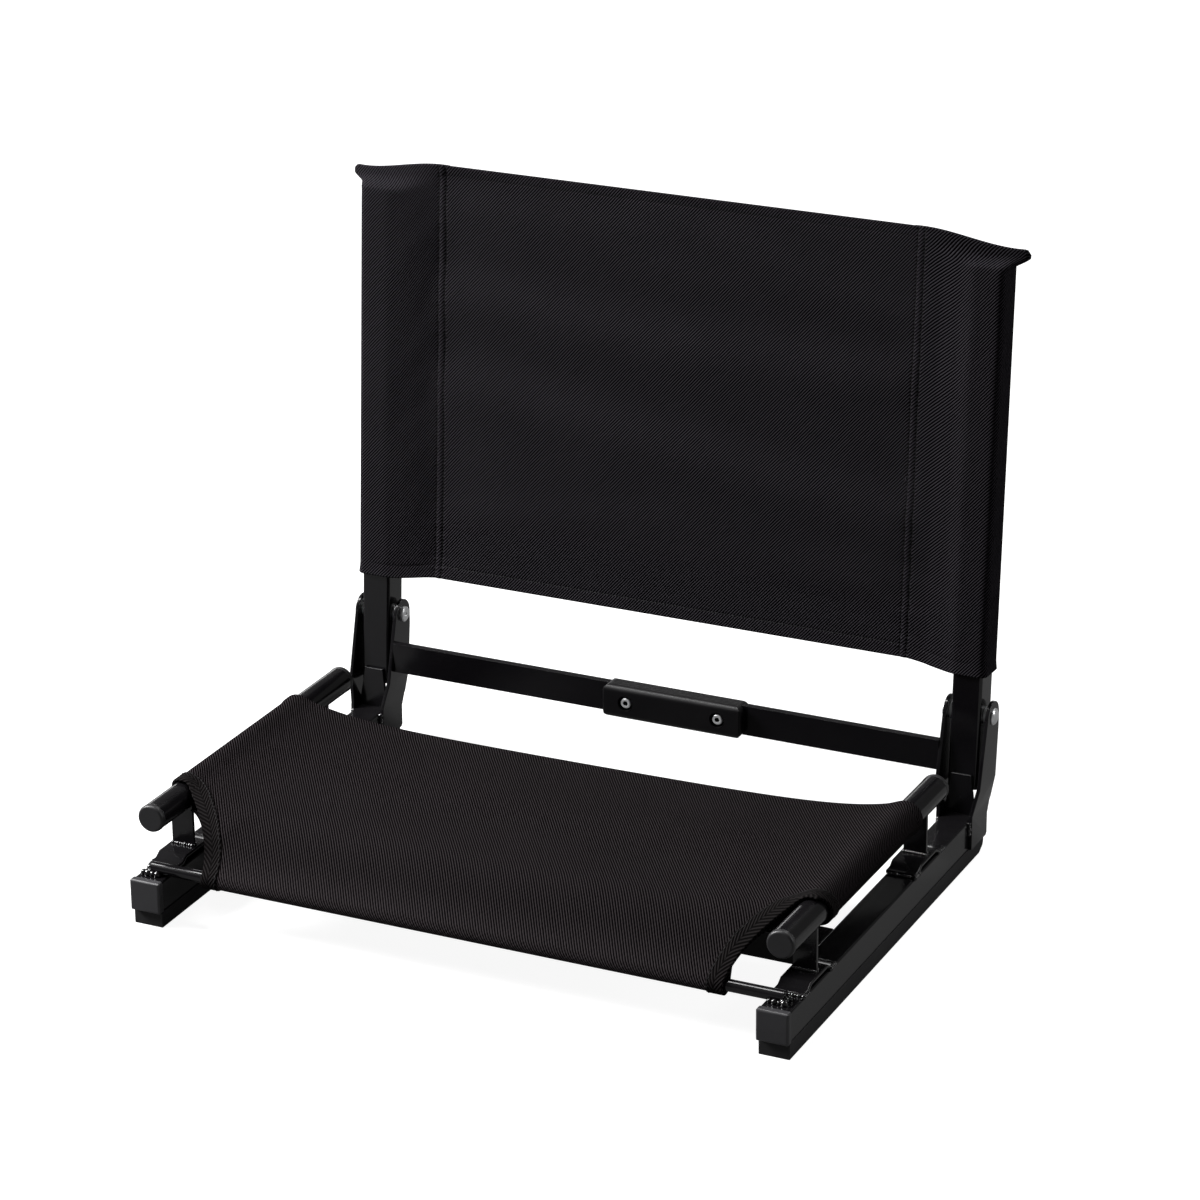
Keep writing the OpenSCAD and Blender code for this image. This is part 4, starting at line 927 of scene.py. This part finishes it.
class BLEACHER_OT_seat_sling(bpy.types.Operator):
    """Make the seat sling: sleeves over the tubes and an apron round the front rod"""
    bl_idname = "bleacher.seat_sling"
    bl_label = "Seat sling"
    bl_options = {"REGISTER", "UNDO"}

    def execute(self, context):
        inner = np.r_[np.linspace(0, CUT_U - 60, 32), np.linspace(CUT_U - 60, CUT_U, 34)]
        u = both_halves(np.r_[np.unique(inner.round(4)), np.linspace(CUT_U, SEAT_U[-1], 64)[1:]])
        hem = SLEEVE_Y1 - 14
        main = np.r_[np.linspace(SLEEVE_Y1, hem, 12), np.linspace(hem, SLEEVE_Y0, 62)[1:]]
        end = APRON_Y0 - WRAP_R * WRAP_TURN - 16
        v = np.r_[main, np.linspace(SLEEVE_Y0, APRON_Y0, 30)[1:], np.linspace(APRON_Y0, end, 30)[1:]]
        uu, vv = np.meshgrid(u, v)
        t = np.clip((vv - APRON_Y0) / APRON_L, 0, 1)
        uu = uu * np.where(vv < SLEEVE_Y0, edge_u(cut_edge(t)) / CUT_U, 1.0)
        p = seat_surface(uu, vv)
        n = seat_normal(uu, vv)
        p = p + n * seat_relief(uu, vv)[..., None]
        face = np.abs(u) <= CUT_U + 1e-3
        live = np.ones((len(v) - 1, len(u) - 1), bool)
        live[len(main) - 1:, :] = (face[:-1] & face[1:])[None, :]
        # the lower layer between the tube and the seam reaches forward to the same curve
        low = np.abs(uu) >= LOW_U
        reach = SLEEVE_Y0 - np.clip(cut_front(SIDE_X - np.abs(np.abs(p[..., 0]) - SIDE_X)), 20, SLEEVE_Y0)
        reach = reach * smooth((SLEEVE_Y0 + 40 - vv) / 40) * smooth((np.abs(uu) - LOW_U) / 4)
        pull = np.where(low, reach, 0)
        under = (vv >= SLEEVE_Y0 - 1e-6) & low
        pulled = np.where(under, vv - pull, vv)
        p = np.where(under[..., None], seat_surface(uu, pulled), p)
        n = np.where(under[..., None], seat_normal(uu, pulled), n)
        sewn_sheet("seat_sling_cloth", "base", "seat_sling", "sling_cloth", "seat sling cloth",
                   p, n, np.stack([uu, vv], -1), settings()[0].cloth * 1000 + 0.9 * rear_hem(vv), live)
        return {"FINISHED"}


def tape_grid(side, thick, widths):
    """Points, normals and map of a tape at the given distances from the cut-out's edge."""
    e = edge_line(1.2)
    d = np.gradient(e, axis=0)
    d /= np.linalg.norm(d, axis=1, keepdims=True)
    inward = np.stack([-d[:, 1], d[:, 0]], -1)
    if inward[0, 1] < 0:
        inward = -inward
    q = e[:, None, :] + widths[None, :, None] * inward[:, None, :]
    u, v = q[..., 0] * side, q[..., 1]
    n = seat_normal(u, v)
    p = seat_surface(u, v) + n * (seat_relief(u, v) + CLOTH / 2 + TAPE_LIFT + thick / 2)[..., None]
    return p, n, np.stack(np.broadcast_arrays(widths[None, :], along(e)[:, None]), -1)


class BLEACHER_OT_edge_tapes(bpy.types.Operator):
    """Make the woven tapes along the seat sling's cut-outs and sleeve fronts"""
    bl_idname = "bleacher.edge_tapes"
    bl_label = "Edge tapes"
    bl_options = {"REGISTER", "UNDO"}

    def execute(self, context):
        thick = settings()[0].tape * 1000
        widths = np.array([0.0, 0.8, 3, 5.5, 6.5, 7.5, 10, 12.2, TAPE_W])
        for side, name in ((-1, "left"), (1, "right")):
            sewn_sheet("edge_tape_cloth_" + name, "base", "edge_tape_" + name, "edge_tape", "edge tape",
                       *tape_grid(side, thick, widths), thick)
        return {"FINISHED"}


def back_line(u, v):
    """A line of stitches on the back sling's face."""
    x, h, w, pv = back_surface(u, v)
    n = np.array([0, -math.cos(RECLINE), math.sin(RECLINE)])
    return on_hinge(x, h, w) + n * (back_relief(x, pv, u) + CLOTH / 2 + THREAD_LIFT)[:, None]


def seat_line(u, v):
    """A line of stitches on the seat sling's face."""
    return seat_surface(u, v) + seat_normal(u, v) * (seat_relief(u, v) + CLOTH / 2 + THREAD_LIFT)[:, None]


class BLEACHER_OT_stitches(bpy.types.Operator):
    """Sew the seams, the hems and the tapes with separate stitches"""
    bl_idname = "bleacher.stitches"
    bl_label = "Stitches"
    bl_options = {"REGISTER", "UNDO"}

    def execute(self, context):
        sew, _, _ = settings()
        tree = row_tree("Stitch rows", 6, 5)
        values = {"Pitch": sew.stitch_pitch, "Length": sew.stitch, "Thickness": sew.thread, "Variation": 0.12,
                  "Seed": sew.seed, "Material": material("sewing thread")}
        gap = sew.seam_gap * 500
        v = np.linspace(0.004, 0.997, 160)
        lines = [back_line(np.full_like(v, s * (SEAM_X + k)), v) for s in (-1, 1) for k in (-gap, gap)]
        u = np.linspace(-SEAM_X + 3, SEAM_X - 3, 140)
        lines.append(back_line(u, np.full_like(u, BACK_HEM / (BACK_TOP - BACK_LOW))))
        rows_object("back_stitches", tree, lines, values, "backrest")
        lines = []
        for s in (-1, 1):
            p, n, _ = tape_grid(s, sew.tape * 1000, np.array([TAPE_W - 1.2, TAPE_W - 1]))
            lines.append(p[:, 0] + n[:, 0] * (sew.tape * 500 + THREAD_LIFT))
        u = np.linspace(-LOW_U, LOW_U, 330)
        lines.append(seat_line(u, np.full_like(u, SLEEVE_Y1 - SEAT_HEM)))
        rows_object("seat_stitches", tree, lines, values, "base")
        return {"FINISHED"}


def bead(start, end, count):
    """The line of a weld bead."""
    return np.linspace(start, end, count)


class BLEACHER_OT_weld_beads(bpy.types.Operator):
    """Make the lumpy painted weld beads at the rod, the saddles and the hinge ears"""
    bl_idname = "bleacher.weld_beads"
    bl_label = "Weld beads"
    bl_options = {"REGISTER", "UNDO"}

    def execute(self, context):
        tree = row_tree("Weld bead", 10, 7)
        paint = material("painted weld")
        rod, plates = [], []
        for s in (-1, 1):
            x = s * SIDE_X
            for y in (ROD_Y - 5.0, ROD_Y + 4.8):
                rod.append(bead((x - 8, y, RAIL_TOP + 1.4), (x + 4, y, RAIL_TOP + 1.4), 9))
            end = x + s * 2.6
            rod.append(bead((end, ROD_Y - 4, RAIL_TOP + 2.2), (end, ROD_Y + 4, RAIL_TOP + 2.2), 7))
            for y in SADDLES_Y:
                for dy in (-30.0, 29.0):
                    plates.append(bead((x - 8, y + dy, RAIL_TOP + 0.6), (x + 8, y + dy, RAIL_TOP + 0.6), 9))
                for dy in (-0.2, 3.2):
                    up = RAIL_TOP + 6.9
                    plates.append(bead((x - 8.5, y + dy, up), (x + 8.5, y + dy, up), 9))
                for dy in (-30.0, 21.0):
                    side, up = x + s * 12.2, RAIL_TOP + 0.5
                    plates.append(bead((side, y + dy, up), (side, y + dy + 8, up), 5))
            for ear in (x - 13.1, x + 13.1):
                plates.append(bead((ear, EAR_FRONT_Y, RAIL_TOP - 11), (ear, EAR_FRONT_Y, RAIL_TOP - 2), 6))
        rows_object("rod_weld_beads", tree, rod,
                    {"Pitch": 0.0030, "Length": 0.0050, "Thickness": 0.0058, "Variation": 0.28, "Seed": 5,
                     "Material": paint}, "base")
        rows_object("plate_weld_beads", tree, plates,
                    {"Pitch": 0.0021, "Length": 0.0034, "Thickness": 0.0040, "Variation": 0.22, "Seed": 7,
                     "Material": paint}, "base")
        return {"FINISHED"}


def sided(table):
    """The table with a left and a right row for each node that comes in a pair."""
    return {node.replace("SIDE", side): row for node, row in table.items() for side in ("left", "right")}


# Each node's rounded edge in millimetres, a moulding's after its finish and before its slot
STEEL = sided({
    "base_rail_SIDE": 0.35, "front_cross_rod": 0.4, "under_seat_brace": 0.35, "saddle_front_SIDE": 1.1,
    "saddle_rear_SIDE": 1.1, "strap_front_SIDE": 0.4, "strap_rear_SIDE": 0.4, "seat_tube_SIDE": 0.25,
    "hinge_ear_outer_SIDE": 0.5, "hinge_ear_inner_SIDE": 0.5, "stop_plate_SIDE": 0.5, "rear_cross_bar": 1.8,
    "back_post_SIDE": 0.25,
})
MOULDED = sided({
    # the front caps' material is the caps' plastic with painted light
    "rail_front_cap_SIDE": ("rail caps painted lighter", 0.3, "cap_plastic"),
    "rail_rear_cap_SIDE": ("moulded caps", 0.5, "cap_plastic"),
    "seat_tube_front_caps": ("moulded caps", 0.25, "cap_plastic"),
    "seat_tube_rear_caps": ("moulded caps", 0.25, "cap_plastic"),
    "post_top_caps": ("moulded caps", 0.4, "cap_plastic"),
    "post_bottom_caps": ("moulded caps", 0.4, "cap_plastic"),
    "foot_strip_SIDE": ("foot rubber", 0.5, "foot_rubber"),
    "handle_grip": ("moulded grip", 0.7, "grip_plastic"),
})
FASTENERS = {"pivot_rivets": 0.2, "spacer_washers": 0.25, "grip_screws": 0.25}
SOCKET_R = 0.00225          # a hexagon socket's faces lie within this of its middle, in metres


class BLEACHER_OT_steel(bpy.types.Operator):
    """Show the painted steel with softened edges and gloss paint"""
    bl_idname = "bleacher.steel"
    bl_label = "Painted steel"
    bl_options = {"REGISTER", "UNDO"}

    def execute(self, context):
        for node, bevel in STEEL.items():
            polished(node, "gloss paint", bevel, "frame_paint")
        return {"FINISHED"}


class BLEACHER_OT_mouldings(bpy.types.Operator):
    """Show the caps, the rubber strips and the grip with moulded edges and grain"""
    bl_idname = "bleacher.mouldings"
    bl_label = "Mouldings"
    bl_options = {"REGISTER", "UNDO"}

    def execute(self, context):
        for node, finish in MOULDED.items():
            polished(node, *finish)
        return {"FINISHED"}


class BLEACHER_OT_fasteners(bpy.types.Operator):
    """Show the rivets, washers and screws in bright zinc"""
    bl_idname = "bleacher.fasteners"
    bl_label = "Fasteners"
    bl_options = {"REGISTER", "UNDO"}

    def execute(self, context):
        for node, bevel in FASTENERS.items():
            ob = polished(node, "bright zinc", bevel, "zinc_steel")
            if node == "grip_screws":
                self.paint_socket_shade(ob.data)
        return {"FINISHED"}

    @staticmethod
    def paint_socket_shade(mesh):
        """Painted shade in the hexagon sockets: their walls and bottoms get the dark socket material."""
        mesh.materials.append(material("socket"))
        co = np.zeros(len(mesh.vertices) * 3, np.float32)
        mesh.vertices.foreach_get("co", co)
        co = co.reshape(-1, 3)
        front = co[:, 1].min()
        for side in (-1, 1):
            near = co[(co[:, 0] - co[:, 0].mean()) * side > 0]
            head = near[near[:, 1] < front + 0.0005]
            x, z = (head[:, k].min() / 2 + head[:, k].max() / 2 for k in (0, 2))
            for f in mesh.polygons:
                c = f.center
                if math.hypot(c.x - x, c.z - z) < SOCKET_R and front + 0.0003 < c.y < front + 0.0036:
                    f.material_index = 1


# Soft boxes: place, target, width, height and watts
LIGHTS = {
    "soft box left": ((-2.3, -0.8, 1.75), (0, 0, 0.25), 0.8, 1.1, 180),
    "soft box above": ((-0.95, -0.15, 2.2), (0, 0, 0.1), 0.5, 1.3, 34),
    "soft box right": ((2.3, 0.85, 1.2), (0, 0, 0.1), 0.6, 1.0, 16),
    "soft box rear": ((0.4, 1.7, 2.5), (0, 0, 0.3), 0.9, 0.9, 20),
    "backdrop": ((-1.2, 3.0, 0.28), (0, 0, 0.15), 4.0, 0.45, 10),
}
# The photograph's camera: its place in metres, its angles in degrees and, in pixels of the
# photograph, its focal length and the middle of its view
EYE = (1.3880, -2.6275 - HALF_DEPTH / 1000, 1.5194)
AZIMUTH, ELEVATION, ROLL = 25.58, 22.03, -0.58
PHOTO, FOCAL, VIEW_X, VIEW_Y = 1200, 4410.23, 600.76, 598.76


def area_light(name, place, target, width, height, power):
    remove_piece(name)
    light = bpy.data.lights.new(name, "AREA")
    light.shape = "RECTANGLE"
    light.size, light.size_y = width, height
    light.energy = power
    ob = link(bpy.data.objects.new(name, light))
    ob.location = place
    ob.rotation_euler = (Vector(target) - Vector(place)).to_track_quat("-Z", "Y").to_euler()


class BLEACHER_OT_stage(bpy.types.Operator):
    """Set up the floor, the white background, the soft boxes and the camera of the photograph"""
    bl_idname = "bleacher.stage"
    bl_label = "Stage"
    bl_options = {"REGISTER", "UNDO"}

    def execute(self, context):
        stage = settings()[2]
        self.camera()
        self.floor(stage)
        self.world(stage)
        for name, (place, target, width, height, watts) in LIGHTS.items():
            area_light(name, place, target, width, height, watts * stage.key)
        context.scene.view_settings.view_transform = "Standard"
        return {"FINISHED"}

    @staticmethod
    def camera():
        remove_piece("camera")
        data = bpy.data.cameras.new("camera")
        ob = link(bpy.data.objects.new("camera", data))
        az, el, roll = (math.radians(a) for a in (AZIMUTH, ELEVATION, ROLL))
        ahead = Vector((-math.sin(az) * math.cos(el), math.cos(az) * math.cos(el), -math.sin(el)))
        level = Vector((math.cos(az), math.sin(az), 0))
        over = level.cross(ahead)
        right = level * math.cos(roll) + over * math.sin(roll)
        up = -level * math.sin(roll) + over * math.cos(roll)
        ob.matrix_world = Matrix([(right[k], up[k], -ahead[k], EYE[k]) for k in range(3)] + [(0, 0, 0, 1)])
        data.sensor_width = 36.0
        data.lens = FOCAL / PHOTO * 36
        data.shift_x = (PHOTO / 2 - VIEW_X) / PHOTO
        data.shift_y = (VIEW_Y - PHOTO / 2) / PHOTO
        data.clip_start, data.clip_end = 0.1, 60
        bpy.context.scene.camera = ob

    @staticmethod
    def floor(stage):
        remove_piece("floor")
        mesh = bpy.data.meshes.new("floor")
        bm = bmesh.new()
        bmesh.ops.create_circle(bm, cap_ends=True, segments=96, radius=9.0)
        bm.to_mesh(mesh)
        bm.free()
        ob = link(bpy.data.objects.new("floor", mesh))
        m, t, b = new_material("plain floor")
        set_inputs(t, b, {"Base Color": rgba(stage.floor), "Roughness": 0.9, "Specular IOR Level": 0.0})
        path = add(t, "ShaderNodeLightPath").outputs
        white = add(t, "ShaderNodeEmission", {"Color": rgba(stage.back), "Strength": 1.4})
        lit = add(t, "ShaderNodeMixShader", {0: 0.66, 1: b.outputs[0], 2: white.outputs[0]})
        dim = add(t, "ShaderNodeBsdfDiffuse", {"Color": rgba(stage.floor, stage.bounce)})
        # glossy surfaces see the floor dimly, plus a painted reflection: a white glow that only glossy rays
        # see, stronger to the right of the rails
        x = split(t, add(t, "ShaderNodeNewGeometry").outputs["Position"])[0]
        seen = maths(t, "MULTIPLY", path["Is Glossy Ray"], ramp(t, x, 0.272, 0.29, 0.045, 0.13))
        glow = add(t, "ShaderNodeEmission", {"Color": rgba(stage.back), "Strength": seen})
        dim = add(t, "ShaderNodeAddShader", {0: dim.outputs[0], 1: glow.outputs[0]})
        both = add(t, "ShaderNodeMixShader", {0: path["Is Camera Ray"], 1: dim.outputs[0], 2: lit.outputs[0]})
        out = next(n for n in t.nodes if n.type == "OUTPUT_MATERIAL")
        t.links.new(both.outputs[0], out.inputs[0])
        mesh.materials.append(m)

    @staticmethod
    def world(stage):
        w = bpy.data.worlds.new("studio")
        bpy.context.scene.world = w
        w.use_nodes = True
        t = w.node_tree
        t.nodes.clear()
        path = add(t, "ShaderNodeLightPath").outputs
        even, room, back = (
            add(t, "ShaderNodeBackground", {"Color": c, "Strength": s}).outputs[0]
            for c, s in (((1, 1, 1, 1), stage.fill), ((1, 1, 1, 1), stage.sheen), (rgba(stage.back), 1.0)))
        near = add(t, "ShaderNodeMixShader", {0: path["Is Glossy Ray"], 1: even, 2: room}).outputs[0]
        both = add(t, "ShaderNodeMixShader", {0: path["Is Camera Ray"], 1: near, 2: back}).outputs[0]
        t.links.new(both, t.nodes.new("ShaderNodeOutputWorld").inputs[0])


class BLEACHER_PT_panel(bpy.types.Panel):
    """Sidebar panel with the settings and one button for each piece"""
    bl_idname = "BLEACHER_PT_panel"
    bl_label = "Bleacher seat"
    bl_space_type = "VIEW_3D"
    bl_region_type = "UI"
    bl_category = "Bleacher seat"

    def draw(self, context):
        for held_name in HELD:
            box = self.layout.box()
            held = getattr(context.scene, held_name)
            for key in held.__annotations__:
                box.prop(held, key)
        for op in OPERATORS:
            self.layout.operator(op.bl_idname)


OPERATORS = (BLEACHER_OT_finishes, BLEACHER_OT_steel, BLEACHER_OT_mouldings, BLEACHER_OT_fasteners,
             BLEACHER_OT_back_sling, BLEACHER_OT_seat_sling, BLEACHER_OT_edge_tapes, BLEACHER_OT_stitches,
             BLEACHER_OT_weld_beads, BLEACHER_OT_stage)
HELD = {"bleacher_sewing": BLEACHER_PG_sewing, "bleacher_finish": BLEACHER_PG_finish,
        "bleacher_stage": BLEACHER_PG_stage}
CLASSES = (*HELD.values(), *OPERATORS, BLEACHER_PT_panel)


def register():
    for c in CLASSES:
        bpy.utils.register_class(c)
    for name, kind in HELD.items():
        setattr(bpy.types.Scene, name, PointerProperty(type=kind))


def unregister():
    for name in HELD:
        delattr(bpy.types.Scene, name)
    for c in reversed(CLASSES):
        bpy.utils.unregister_class(c)


def declare_sheets():
    """Looks up the slings and tapes by name; nothing more is done with them."""
    get = bpy.data.objects.get
    get("back_sling_cloth")
    get("seat_sling_cloth")
    for name in ("left", "right"):
        get("edge_tape_cloth_" + name)


def main():
    register()
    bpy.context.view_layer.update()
    for op in OPERATORS:
        area, verb = op.bl_idname.split(".")
        getattr(getattr(bpy.ops, area), verb)()
    declare_sheets()
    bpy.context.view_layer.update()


if __name__ == "__main__":
    main()
